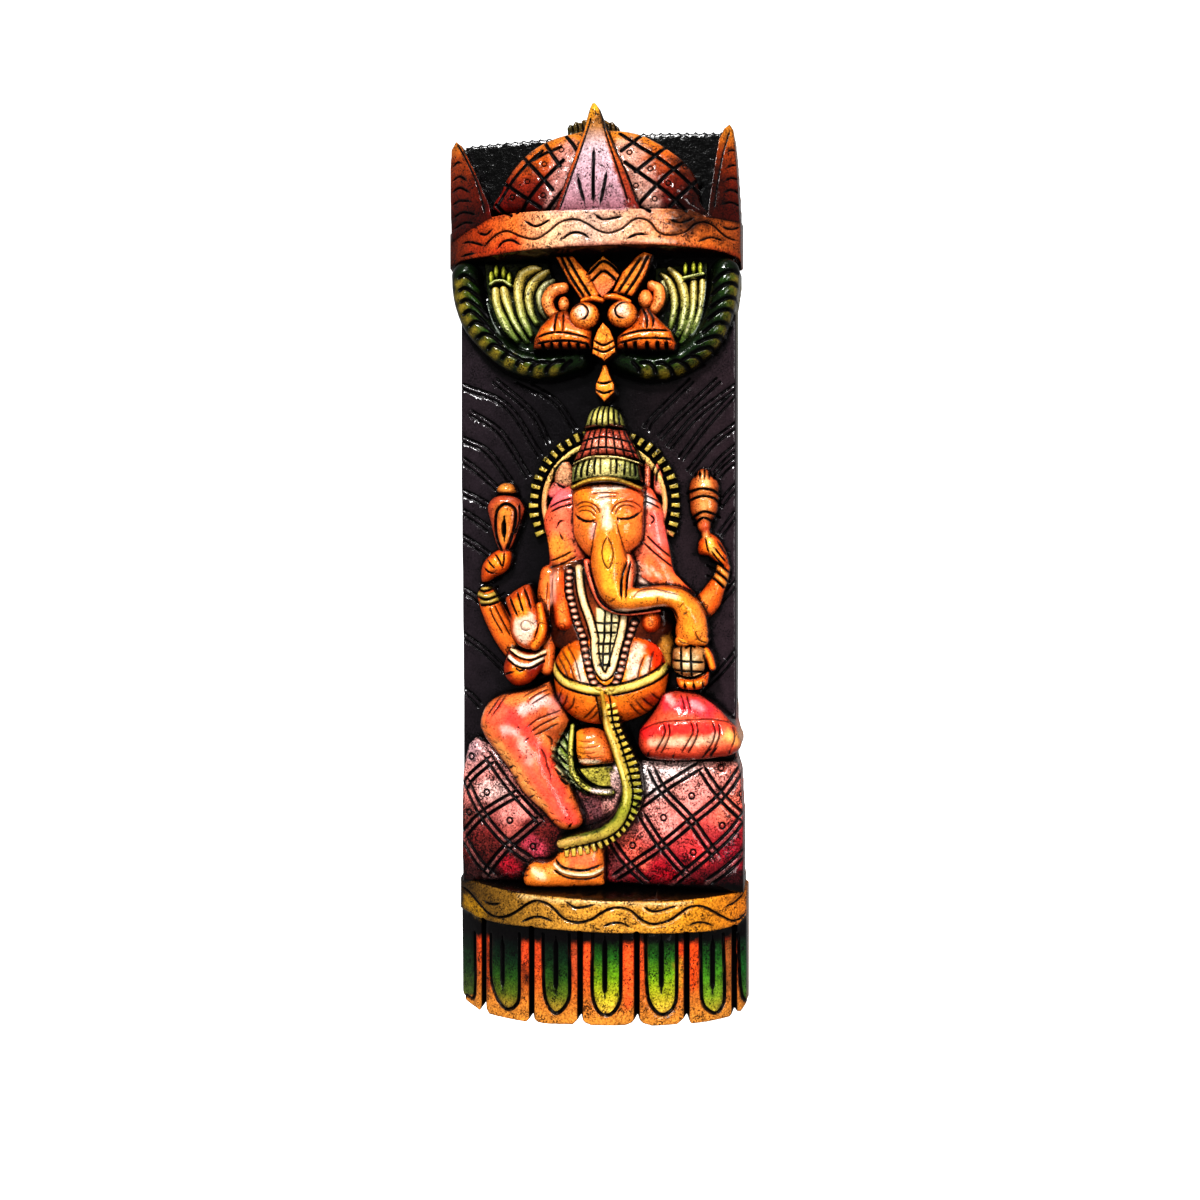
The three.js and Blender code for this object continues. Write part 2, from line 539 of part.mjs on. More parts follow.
function base() {
  const band = waveBand(BASE, { middle: -232.7, swing: 5.4, pitch: 53.3, crest: 16 });
  const { low, high, sunk, rim, gaps } = LEAVES;
  const front = {
    left: BASE.left + 1,
    right: BASE.right - 1,
    edge: BASE.edge - sunk,
    crest: BASE.crest - sunk,
  };
  const edges = [2 * gaps[0] - gaps[1], ...gaps, 2 * gaps[5] - gaps[4]];
  const outlines = [];
  const veins = [];
  for (let i = 0; i < edges.length - 1; i++) {
    const middle = (edges[i] + edges[i + 1]) / 2;
    const half = (edges[i + 1] - edges[i]) / 2 - rim;
    const bowl = [[-1, 16], [-0.55, 7.5], [0.55, 7.5], [1, 16]].map(([x, y]) => [middle + half * x, low + y]);
    outlines.push([[middle - half, high], ...bowl, [middle + half, high]]);
    veins.push([[middle, high], [middle, low + 24]]);
  }
  const notches = gaps.map((x) => slab([[x - 3.5, low - 2], [x, low + 6], [x + 3.5, low - 2]], -1, SKY));
  const clefts = gaps.map((x) => [[x, low - 5], [x, high + 5]]);
  const carved = engrave(beam(front, low, high + 2), [...outlines, ...veins], { wide: 3, deep: 2.2 });
  const leaves = engrave(carved, clefts, { wide: 3, deep: 7 });
  return [band, notches.reduce((whole, notch) => whole.subtract(notch), leaves)];
}

// The sunk ground that everything stands on

function plank() {
  const { left, right, low, high, rise } = PLANK;
  return slab([[left, low], [right + 2, low], [right, -60], [right - 1, high + rise], [30, high + rise],
    [-36, high + rise - 1], [-79, high + 1], [left, high - 2]], 0, GROUND);
}

const carving = join(plank(), crown(), ropes(), fronds(), mask(), halo(), headdress(), body(), head(),
  raisedArm(), rearArms(), heldThings(), bowlHand(), legs(), sash(), seat(), base());

function geometryOf(solid) {
  const { vertProperties, triVerts } = solid.getMesh();
  const geometry = new THREE.BufferGeometry();
  geometry.setAttribute('position', new THREE.BufferAttribute(vertProperties, 3));
  geometry.setIndex(new THREE.BufferAttribute(triVerts, 1));
  geometry.computeVertexNormals();
  return geometry;
}

const lacquer = new THREE.MeshStandardMaterial({ color: 0xd9742c, roughness: 0.35, metalness: 0 });
const panel = new THREE.Mesh(geometryOf(carving), lacquer);
panel.name = 'carved_panel';
panel.rotation.x = Math.PI / 2;

const part = new THREE.Group();
part.add(panel);

export default part;
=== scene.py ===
import math
import bmesh
import bpy
import numpy as np
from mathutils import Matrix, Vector


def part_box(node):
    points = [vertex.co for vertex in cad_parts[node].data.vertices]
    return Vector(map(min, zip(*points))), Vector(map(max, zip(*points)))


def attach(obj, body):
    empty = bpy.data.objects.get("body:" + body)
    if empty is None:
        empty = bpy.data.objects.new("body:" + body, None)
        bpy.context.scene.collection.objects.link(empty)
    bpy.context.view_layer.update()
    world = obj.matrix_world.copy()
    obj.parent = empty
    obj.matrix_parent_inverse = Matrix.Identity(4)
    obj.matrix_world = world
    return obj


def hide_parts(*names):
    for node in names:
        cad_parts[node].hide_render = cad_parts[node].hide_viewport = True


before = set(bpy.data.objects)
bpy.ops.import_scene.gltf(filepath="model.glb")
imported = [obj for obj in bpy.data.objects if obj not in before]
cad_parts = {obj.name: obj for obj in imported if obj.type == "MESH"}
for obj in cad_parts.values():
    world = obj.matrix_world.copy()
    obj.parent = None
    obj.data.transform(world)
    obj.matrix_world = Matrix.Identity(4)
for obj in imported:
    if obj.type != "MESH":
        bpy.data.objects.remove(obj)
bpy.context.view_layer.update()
MM = 0.001


# Studio
# A plain pale floor well below the hanging panel, in a white room with three far soft lights. The
# camera stands level with the middle of the panel and a little to its right, as in the photograph.

def linear(shade):
    """An sRGB hex colour as linear red, green and blue."""
    parts = [int(shade[i:i + 2], 16) / 255 for i in (1, 3, 5)]
    return [part / 12.92 if part <= 0.04045 else ((part + 0.055) / 1.055) ** 2.4 for part in parts]


def node(tree, kind, inputs=None, **settings):
    """Adds a node with its settings. Each input is a value, or a socket that is linked to it."""
    made = tree.nodes.new(kind)
    for name, value in settings.items():
        setattr(made, name, value)
    for name, value in (inputs or {}).items():
        if isinstance(value, bpy.types.NodeSocket):
            tree.links.new(value, made.inputs[name])
        else:
            made.inputs[name].default_value = value
    return made


CAMERA_TURN = math.radians(6)
CAMERA_DISTANCE = 0.930
CAMERA_AIM = (0.0012, -0.030)
camera = bpy.data.objects.new("camera", bpy.data.cameras.new("camera"))
bpy.context.scene.collection.objects.link(camera)
camera.location = (CAMERA_AIM[0] + CAMERA_DISTANCE * math.sin(CAMERA_TURN),
                   CAMERA_AIM[1] - CAMERA_DISTANCE * math.cos(CAMERA_TURN), 0)
camera.rotation_euler = (math.pi / 2, 0, CAMERA_TURN)
camera.data.lens = 40.82
camera.data.shift_y = -36.5 / 1200
camera.data.clip_start = 0.01
bpy.context.scene.camera = camera

sky = bpy.data.worlds.new("white room")
sky.use_nodes = True
room = sky.node_tree
seen = node(room, "ShaderNodeLightPath").outputs["Is Camera Ray"]
glow = node(room, "ShaderNodeMapRange", {"Value": seen, "To Min": 0.3, "To Max": 1.0})
room.links.new(glow.outputs["Result"], room.nodes["Background"].inputs["Strength"])
room.nodes["Background"].inputs["Color"].default_value = (1, 1, 1, 1)
bpy.context.scene.world = sky
bpy.context.scene.view_settings.view_transform = "Standard"
bpy.context.scene.view_settings.look = "High Contrast"


def lamp(name, come_from, strength, spread):
    """A far soft light, with its apparent size as an angle in degrees."""
    light = bpy.data.lights.new(name, "SUN")
    light.energy = strength
    light.angle = math.radians(spread)
    made = bpy.data.objects.new(name, light)
    made.rotation_euler = (-Vector(come_from)).to_track_quat("-Z", "Y").to_euler()
    bpy.context.scene.collection.objects.link(made)


lamp("key", (-0.12, -1.0, 0.72), 2.8, 10)
lamp("fill", (0.7, -1.0, 0.1), 1.0, 20)
lamp("top", (0.1, -0.5, 1.0), 0.7, 30)

FLOOR = -0.42
bpy.ops.mesh.primitive_circle_add(vertices=96, radius=4, fill_type="NGON", location=(0, 0, FLOOR))
floor = bpy.context.object
floor.name = "floor"
floor_paint = bpy.data.materials.new("lit white floor")
floor_paint.use_nodes = True
floor_look = floor_paint.node_tree.nodes["Principled BSDF"].inputs
floor_look["Base Color"].default_value = (0.9, 0.9, 0.9, 1)
floor_look["Roughness"].default_value = 0.9
floor_look["Emission Color"].default_value = (1, 1, 1, 1)
floor_look["Emission Strength"].default_value = 0.6
floor.data.materials.append(floor_paint)
floor.visible_diffuse = False
floor.visible_glossy = False


# Plank and sunk ground
# The panel is carved from one thick hardwood plank with a flat back. The ground is cut down to about a
# third of the thickness, gouged in sweeping pairs of lines and painted black. Everything is in mm: x
# to the right and y up from the middle of the back, with heights above the back.

CELL = 0.5
MARGIN = 4
WALL = 1.2
NOTE_EVERY = 0.7
# The black of the wash in recesses, also painted on the sides of forms as shade.
WASH_AND_SHADE = np.array(linear("#0a0709"))

lowest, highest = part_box("carved_panel")
across = np.arange(lowest.x / MM - MARGIN, highest.x / MM + MARGIN, CELL)
up = np.arange(lowest.z / MM - MARGIN, highest.z / MM + MARGIN, CELL)
relief = np.zeros((len(up), len(across)))
wear = np.full(relief.shape, 0.3)
paint = np.zeros((len(up), len(across), 3))
strokes = []


def blurred(field, reach):
    """A field averaged over a square that reaches so many mm each way."""
    half = max(1, round(reach / CELL))
    for axis in (0, 1):
        field = sum(np.roll(field, step, axis) for step in range(-half, half + 1)) / (2 * half + 1)
    return field


bristles = blurred(blurred(np.random.default_rng(7).standard_normal(relief.shape), 1.0), 1.0)
bristles /= bristles.std()


def curve(points, per=6, closed=False):
    """A smooth curve through the points, which may carry more values than x and y."""
    points = np.array(points, float)
    if closed:
        line = [points[-1], *points, points[0], points[1]]
    else:
        line = [2 * points[0] - points[1], *points, 2 * points[-1] - points[-2]]
    t = np.linspace(0, 1, per, endpoint=False)[:, None]
    spans = []
    for a, b, c, d in zip(line, line[1:], line[2:], line[3:]):
        spans.append(b + t / 2 * (c - a + t * (2 * a - 5 * b + 4 * c - d + t * (3 * b - a - 3 * c + d))))
    return np.concatenate(spans if closed else [*spans, points[-1:]])


def patch(points, margin=2.0):
    """The rows and columns of the grid that lie round some points."""
    points = np.asarray(points, float)
    (left, low), (right, high) = points[:, :2].min(0) - margin, points[:, :2].max(0) + margin
    return slice(*np.searchsorted(up, (low, high))), slice(*np.searchsorted(across, (left, right)))


def nearest(route, rows, cols):
    """The distance of each grid point from a route, and the route's values where it is nearest."""
    route = np.asarray(route, float)
    x, y = across[cols][None, :], up[rows][:, None]
    shape = (y.size, x.size)
    away = np.full(shape, np.inf)
    here = np.zeros((*shape, route.shape[1]))
    for start, end in zip(route, [*route[1:], route[-1]]):
        step = end - start
        square = step[0] ** 2 + step[1] ** 2 or 1
        t = np.clip(((x - start[0]) * step[0] + (y - start[1]) * step[1]) / square, 0, 1)
        gap = np.hypot(x - start[0] - t * step[0], y - start[1] - t * step[1])
        closer = gap < away
        away[closer] = gap[closer]
        here[closer] = start + t[closer][:, None] * step
    return away, here


def inset(outline, rows, cols):
    """How far inside an outline each grid point lies, negative outside."""
    outline = np.asarray(outline, float)[:, :2]
    x, y = across[cols][None, :], up[rows][:, None]
    inside = np.zeros((y.size, x.size), bool)
    for (from_x, from_y), (to_x, to_y) in zip(outline, np.roll(outline, -1, 0)):
        if from_y != to_y:
            reach = from_x + (y - from_y) * (to_x - from_x) / (to_y - from_y)
            inside ^= ((from_y > y) != (to_y > y)) & (x < reach)
    away, _ = nearest([*outline, outline[0]], rows, cols)
    return np.where(inside, away, -away)


def shaded(shades, rows, cols, turn):
    """Paint drawn from one colour to the next, from the ridge to the edge or between two places. Where a list
    darkens towards the edge, it paints shade on the side of a round form as well as its colour.
    """
    if isinstance(shades, tuple):
        shades, start, end = shades
        x, y = across[cols][None, :] - start[0], up[rows][:, None] - start[1]
        way = (end[0] - start[0], end[1] - start[1])
        turn = (x * way[0] + y * way[1]) / (way[0] ** 2 + way[1] ** 2)
    colours = np.array([linear(shade) for shade in shades])
    stops = np.linspace(0, 1, len(shades)) if len(shades) > 1 else [0]
    return np.stack([np.interp(turn, stops, colours[:, band]) for band in range(3)], -1)


def lay(rows, cols, inside, height, colour):
    """Keeps a form where it stands above what is there. Its side drops over WALL mm and is painted black,
    partly as the black wash and partly as painted shade.
    """
    height = height * np.clip(1 + inside / WALL, 0, 1)
    higher = height > relief[rows, cols]
    relief[rows, cols][higher] = height[higher]
    lit = np.clip(0.35 + inside, 0, 1)[..., None]
    paint[rows, cols][higher] = (WASH_AND_SHADE + (colour - WASH_AND_SHADE) * lit)[higher]


def plate(outline, top, shades, arris=1.5):
    """A flat form with a rounded arris."""
    rows, cols = patch(outline)
    inside = inset(outline, rows, cols)
    turn = np.clip(1 - inside / arris, 0, 1)
    lay(rows, cols, inside, top - arris * (1 - np.sqrt(1 - turn ** 2)), shaded(shades, rows, cols, turn))


def height_at(x, y):
    """The height of the wood at some places."""
    row = np.clip(np.searchsorted(up, y), 0, len(up) - 1)
    col = np.clip(np.searchsorted(across, x), 0, len(across) - 1)
    return relief[row, col]


def wash(outline, shades, above=0, soft=0.8, rise=0.0):
    """Colour brushed over what is there inside an outline, which may be raised as well."""
    rows, cols = patch(outline)
    inside = inset(outline, rows, cols)
    amount = np.clip(0.5 + inside / soft, 0, 1) * (relief[rows, cols] > above)
    relief[rows, cols] += rise * amount
    colour = shaded(shades, rows, cols, np.clip(inside / soft, 0, 1))
    paint[rows, cols] += (colour - paint[rows, cols]) * amount[..., None]


def walked(route):
    """How far along a route each of its points lies."""
    return np.concatenate([[0], np.cumsum(np.hypot(*np.diff(route, axis=0).T))])


def place_on(route, at):
    """The x and the y of a route at distances from its start."""
    return [np.interp(at, walked(route), route[:, axis]) for axis in (0, 1)]


def score(points, wide=1.5, deep=1.2, ink=1.0, per=6, blunt=False):
    """Notes a chisel stroke, which is cut later into what is there now. It thins out at its ends."""
    route = curve(points, per)
    length = walked(route)[-1]
    count = max(3, round(length / NOTE_EVERY))
    at = np.linspace(0, length, count)
    route = np.stack(place_on(route, at), -1)
    taper = 1.0 if blunt else np.clip(np.minimum(at, length - at) / (1.5 * wide), 0.3, 1)
    surface = height_at(route[:, 0], route[:, 1])
    width = np.full(count, wide / 2) * taper
    depth = np.full(count, deep) * taper
    strokes.append(np.column_stack([route, surface, width, depth, np.full(count, ink)]))


def beside(points, shift):
    """The same line, moved sideways by a distance."""
    points = np.array(points, float)[:, :2]
    way = np.gradient(points, axis=0)
    way /= np.hypot(way[:, 0], way[:, 1])[:, None]
    return points + shift * np.stack([-way[:, 1], way[:, 0]], -1)


def pair(points, gap, **tool):
    """Two chisel strokes, one on each side of a line."""
    for shift in (-gap / 2, gap / 2):
        score(beside(points, shift), **tool)


GROUND = 18
GROUND_PAINT = (["#2b2328", "#151215", "#0f0d0f", "#2a2024", "#33272c"], (-96, 0), (96, -20))
board_top = []
for step in range(30):
    x = 84 - 6 * step
    crest = 297.5 - 0.00035 * (x - 30) ** 2
    board_top += [[x, crest], [x - 1.5, crest - 1.2], [x - 3, crest - 1.4], [x - 4.5, crest - 1]]
board = [[-96, -235], [95, -235], [93.5, -60], [93.5, 235], *board_top, [-98, 240], [-97.6, 60], [-96, -90]]
plate(board, GROUND, GROUND_PAINT)
wash([[-99, 204], [95, 204], [95, 300], [-99, 300]], ["#040304", "#020202"], above=10)
gouges = [
    [[-57.5, 128], [-32, 113.5], [-17.5, 93.5]], [[-74, 128], [-47.5, 105], [-36.5, 85]],
    [[-96.5, 124], [-65.5, 110], [-42, 75.5]], [[-91, 105.5], [-69.5, 91], [-50.5, 61]],
    [[-96.5, 87], [-79.5, 78.5], [-62.5, 57]], [[-96.5, 72.5], [-84, 63], [-72.5, 52.5]],
    [[-96.5, 50], [-88, 46], [-79.5, 41.5]], [[-96.5, 36.5], [-87, 30.5], [-78, 24]],
    [[-96.5, 18.5], [-87, 12.5], [-78, 6]], [[-96.5, -18.5], [-88, -23], [-81, -29]],
    [[-96.5, -50], [-81, -61], [-66.5, -74.5]], [[-96.5, -88.5], [-90, -93], [-84.5, -99]],
    [[63, 126], [37.5, 101], [32, 93]], [[81.5, 126], [53, 99.5], [41.5, 87]],
    [[93.5, 121.5], [67, 102], [47.5, 80]], [[93.5, 117.5], [74, 96], [56, 72.5]],
    [[93.5, 95], [76.5, 81.5], [61.5, 63]], [[93.5, 80], [85, 73], [77, 64]],
    [[93.5, 71], [87, 66], [81.5, 60]], [[93.5, 53], [88, 47], [82.5, 39.5]],
    [[93.5, 34.5], [88, 27], [82.5, 19.5]], [[95.5, -11.5], [86, -22], [77, -32]],
    [[95, -59.5], [83, -74], [69, -87]],
]
for gouge in gouges:
    pair(gouge, 3.6, wide=2.0, deep=1.3, blunt=True)


# Crown
# A round-fronted band with a tall petal in the middle, one at each corner and a quilted dome between
# them. The band and the petals are orange over red, and the dome is rose and red in its diamonds.

CROWN = {"left": -105.5, "right": 97, "edge": 20, "crest": 63}


def bow(x, beam):
    """The height of a round front that lies across the panel."""
    half, rise = (beam["right"] - beam["left"]) / 2, beam["crest"] - beam["edge"]
    radius = (half ** 2 + rise ** 2) / (2 * rise)
    middle = (beam["left"] + beam["right"]) / 2
    return beam["crest"] - radius + np.sqrt(np.maximum(radius ** 2 - (x - middle) ** 2, 0))


def sheathed(outline, beam, shades, arris=1.2):
    """A form whose front follows a round-fronted beam."""
    rows, cols = patch(outline)
    inside = inset(outline, rows, cols)
    turn = np.clip(1 - inside / arris, 0, 1)
    height = bow(across[cols], beam)[None, :] - arris * (1 - np.sqrt(1 - turn ** 2))
    lay(rows, cols, inside, height, shaded(shades, rows, cols, turn))


def pillow(outline, spine, side, top, shades):
    """A form that rounds over from its side to a spine."""
    rows, cols = patch(outline)
    inside = inset(outline, rows, cols)
    core, _ = nearest(spine, rows, cols)
    turn = np.clip(core / np.maximum(core + inside, 1e-6), 0, 1)
    height = side + (top - side) * np.sqrt(1 - turn ** 2)
    lay(rows, cols, inside, height, shaded(shades, rows, cols, turn))


def tint(points, reach, shade, strength=1.0, above=0, below=99):
    """A soft stroke of colour along a line."""
    rows, cols = patch(points, reach)
    away, _ = nearest(curve(points) if len(points) > 2 else points, rows, cols)
    amount = np.clip(1.15 * (1 - (away / reach) ** 2) + 0.18 * bristles[rows, cols], 0, 1) ** 1.5
    amount = strength * amount * (relief[rows, cols] > above) * (relief[rows, cols] < below)
    paint[rows, cols] += (np.array(linear(shade)) - paint[rows, cols]) * amount[..., None]


def hoop(x, y, wide, high, turn):
    """Points round an oval, through an angle in radians."""
    return [[x + wide * math.cos(t), y + high * math.sin(t)] for t in np.linspace(0, turn, 9)]


crown_top = [[-104, 230.5], [-92.5, 233], [-80, 234.5], [-65, 235.5], [-50, 235.5], [-22, 234.5],
             [4.5, 234.5], [31, 235], [56.5, 236.5], [73, 237], [84.5, 237], [97.5, 235.5]]
crown_foot = [[98.5, 206], [95, 208.5], [83, 210.5], [70, 211], [56.5, 211], [31, 210.5], [4.5, 209.5],
              [-22, 209], [-43, 209], [-65, 208.5], [-80, 208.5], [-95, 209], [-104, 206.5]]
crown_outline = [[-105.5, crown_top[0][1]], *crown_top[1:-1], [97, crown_top[-1][1]], [97, crown_foot[0][1]],
                 *crown_foot[1:-1], [-105.5, crown_foot[-1][1]]]
# The band's pale middle is partly a painted highlight, and its dark ends partly painted shade where the round
# front turns away.
crown_colours_and_painted_light = (["#4a1a0a", "#b04416", "#dc7838", "#eeb890", "#cfa894", "#d8a484", "#dc8a58", "#c46a2a",
                 "#7a3a1a"], (-103, 0), (97, 0))
sheathed(crown_outline, CROWN, crown_colours_and_painted_light, arris=2.0)
tint([[-65, 211], [-53.5, 214.5]], 8, "#b83214", 0.6, above=30)
tint([[-88.5, 215.5], [-50, 207], [-8.5, 208.5], [44, 210], [93, 209.5]], 4, "#8a2a14", 0.6, above=20)
score([[-77, 215], [-72.5, 219], [-66.5, 222.5], [-59, 223.5], [-50, 219], [-39.5, 216], [-30.5, 220],
       [-22, 226], [-12, 227.5], [-3.5, 224], [2.5, 220], [10, 218], [19, 221], [25.5, 226.5], [31.5, 228],
       [37.5, 225.5], [42.5, 219.5], [50, 218], [60, 221], [66.5, 227], [72.5, 229], [79, 227],
       [86.5, 221.5], [94.5, 220]], wide=1.8, deep=1.5, ink=0.9)
for arc in (
    [[-82, 226], [-75.5, 223.5], [-70, 226.5]], [[-47, 229], [-38.5, 224.5], [-28.5, 228.5]],
    [[0.5, 231], [6.5, 227], [19.5, 229]], [[49, 228.5], [57.5, 227], [66.5, 231.5]],
    [[83.5, 228], [89.5, 227], [97, 230]], [[-94.5, 221], [-87.5, 220.5], [-76.5, 216]],
    [[-96, 212], [-89, 212.5], [-83.5, 212]], [[-67, 212], [-62.5, 216.5], [-56, 217], [-49.5, 213]],
    [[-22, 214], [-14.5, 218.5], [-7.5, 218], [-2, 214.5]], [[21.5, 214], [29, 217.5], [36, 217.5]],
    [[68.5, 215.5], [77, 219.5], [85.5, 218]],
):
    score(arc, wide=2.0, deep=1.5)

corner_shades = (["#c8842e", "#9a4416", "#66200e", "#420f08"], (0, 298), (0, 240))
left_petal = [[-103.5, 224], [-104.5, 252], [-104.5, 276], [-103.5, 288], [-99.5, 292.5], [-95, 288.5],
              [-89.5, 279], [-83, 266.5], [-77, 253], [-72.5, 243], [-70.5, 233.5]]
right_petal = [[96.5, 232.5], [95, 260], [93.5, 280.5], [92, 294.5], [89.5, 298], [85.5, 294], [82, 286],
               [80, 274], [78, 260.5], [76, 247], [74, 232]]
corner_sheath = {**CROWN, "edge": CROWN["edge"] + 2}
sheathed(left_petal, corner_sheath, corner_shades)
sheathed(right_petal, corner_sheath, corner_shades)
score([[-98.5, 290.5], [-91.5, 278.5], [-84.5, 264.5], [-79.5, 251], [-76, 237.5]], wide=1.6)
score([[89.5, 293.5], [85, 277], [82, 260.5], [79, 238.5]], wide=1.6)
for arc in (
    [[-103, 275], [-98.5, 277.5], [-94.5, 276]], [[-103, 265.5], [-96.5, 267.5], [-90, 262.5]],
    [[-103, 258], [-96, 259.5], [-87.5, 254]], [[-103, 249], [-96, 250.5], [-86.5, 248]],
    [[-102, 240], [-93.5, 242], [-82.5, 238]], [[-101.5, 232], [-92.5, 234.5], [-84, 232.5]],
    [[95, 280.5], [90.5, 280.5], [87.5, 278]], [[95, 271], [90.5, 270], [86.5, 267]],
    [[96.5, 261], [90.5, 261.5], [85.5, 258]], [[96.5, 251.5], [90.5, 253.5], [85, 250.5]],
    [[97, 243], [90.5, 245], [83, 242]],
):
    score(arc, wide=2.0, deep=1.6)

dome_edge = curve([[-67, 238], [-65, 254], [-59.5, 265], [-51.5, 274.5], [-42.5, 282], [-32.5, 287],
                   [-23, 290], [-10.5, 292.5], [3, 293], [17.5, 292], [30, 289], [40, 284], [48.5, 278.5],
                   [57, 272], [64, 264], [68.5, 255.5], [70, 242.5], [70, 232.5], [3, 234]], 4, closed=True)
pillow(dome_edge, [[-34, 240], [-10, 258], [12, 258], [38, 240]], 38, 52,
       (["#d08428", "#b45a1e", "#7e2814", "#520c0a"], (0, 292), (0, 238)))
for line, reach, shade, strength in (
    ([[-18.5, 277], [-23, 257], [-26.5, 240]], 11, "#c08c84", 0.8),
    ([[21.5, 276], [29.5, 258.5], [35, 238.5]], 13, "#c09484", 0.8),
    ([[68, 268], [71.5, 248], [63.5, 234]], 22, "#2a0f0a", 0.9),
    ([[-66, 258], [-66, 241]], 10, "#8a1c14", 0.7),
):
    tint(line, reach, shade, strength, above=30)
dome_cuts = (
    [[-34.5, 284], [-30, 276], [-23.5, 266.5]], [[-49.5, 275], [-40.5, 264.5], [-28.5, 250.5]],
    [[-64, 259], [-52, 249.5], [-37, 239]], [[-68.5, 243.5], [-63, 238], [-56.5, 233.5]],
    [[-20.5, 288.5], [-15.5, 282], [-11.5, 275.5]],
    [[-36.5, 278.5], [-49, 267.5], [-59, 255.5], [-66.5, 243.5]],
    [[-21.5, 270.5], [-34, 258], [-44, 246.5], [-52, 235]], [[-17, 254.5], [-26.5, 244], [-33, 236]],
    [[-23.5, 280], [-34, 276.5], [-42, 272.5]],
    [[16, 289], [30, 278.5], [43.5, 270], [57, 259], [68.5, 248]],
    [[20, 267.5], [33.5, 257.5], [49, 246], [60.5, 235]], [[21.5, 245], [30, 237.5], [37, 233]],
    [[31, 288.5], [25, 282], [17.5, 275.5]], [[47, 280], [38, 270.5], [27, 261]],
    [[59.5, 269.5], [49, 260], [40, 250.5], [29, 239]], [[69.5, 258.5], [61.5, 249.5], [50, 238]],
)
for cut in dome_cuts:
    score(cut, wide=3.0, deep=2.4, blunt=True)
for x, y in (
    [-34.5, 268.5], [-23, 278], [-46, 257], [-35, 247], [-56.5, 247], [23, 274.5], [37, 263], [49, 253],
    [27.5, 251.5], [40, 242.5], [60, 265.5],
):
    score(hoop(x, y, 1.7, 1.7, 6.3), wide=1.0, deep=1.0, per=2, blunt=True)

petal_edge = [[-27.5, 233.5], [-21, 249.5], [-14.5, 267], [-7, 287], [-3, 301], [-1, 305.5], [1, 305.5],
              [4.5, 300.5], [8.5, 288], [16.5, 270], [23.5, 253], [30, 237.5], [31, 231.5]]
pillow(petal_edge, [[0.7, 240], [0.7, 300]], 57, 62,
       (["#d99a30", "#d9742a", "#a84a2a", "#7a2a24"], (0, 300), (0, 236)))
petal_face = [[0, 296], [-5.5, 282], [-11, 267], [-18, 249.5], [-23, 233.5], [23, 233], [20.5, 243.5],
              [13.5, 263], [8.5, 279.5], [4.5, 298.5]]
wash(petal_face, (["#96621f", "#a87440", "#ccb0b4", "#c8a4ac", "#b48c94", "#9a6a72"], (0, 302), (0, 236)),
     above=50, soft=1.2)
score([[-1, 296], [-5.5, 282.5], [-11, 267], [-17.5, 249.5], [-23, 234.5]], wide=1.8)
score([[4, 301.5], [8.5, 283], [15, 263.5], [23, 238.5]], wide=1.7)
score([[7, 295], [13.5, 276], [22.5, 257], [29, 237.5]], wide=1.7)
for lens in (
    [[0.5, 275], [0, 256.5], [0, 238]], [[-10.5, 257], [-8.5, 247.5], [-5.5, 237.5]],
    [[9, 259.5], [7, 248.5], [4.5, 237]],
):
    score(lens, wide=2.6, deep=1.8)

finial = [[-21, 292], [-21.5, 298.5], [-20, 301], [-17.5, 300.5], [-16, 303], [-12.5, 302], [-10.5, 304],
          [4.5, 303.5], [7.5, 301.5], [10, 302], [12, 299.5], [14, 298], [15, 291]]
plate(finial, 30, (["#4a4420", "#7a5a24", "#3a2c16"], (-21, 0), (16, 0)))
for x in (-18, -14.5, -11, 8, 11.5):
    score([[x, 302], [x + 1, 293]], wide=1.6)


# Arch
# Two thick ropes of twisted leaves hang under the crown and meet at a two-snouted mask. They are dark
# green with gilded leaf tips, and pale fronds fill the room between them and the mask.


def bar(stations, shades, per=6):
    """A tapered round bar through stations of x, y, half width, side and top."""
    route = curve(stations, per)
    rows, cols = patch(route, route[:, 2].max() + 2)
    away, here = nearest(route, rows, cols)
    half, side, top = here[..., 2], here[..., 3], here[..., 4]
    turn = np.clip(away / half, 0, 1)
    height = side + (top - side) * np.sqrt(1 - turn ** 2)
    lay(rows, cols, half - away, height, shaded(shades, rows, cols, turn))


def dome(x, y, wide, high, side, top, shades, turn=0.0):
    """An oval knob, turned anticlockwise by an angle in degrees."""
    reach = max(wide, high)
    rows, cols = patch([[x - reach, y - reach], [x + reach, y + reach]])
    east, north = across[cols][None, :] - x, up[rows][:, None] - y
    cos, sin = math.cos(math.radians(turn)), math.sin(math.radians(turn))
    out = np.hypot((east * cos + north * sin) / wide, (north * cos - east * sin) / high)
    height = side + (top - side) * np.sqrt(1 - np.clip(out, 0, 1) ** 2)
    lay(rows, cols, (1 - out) * min(wide, high), height, shaded(shades, rows, cols, out))


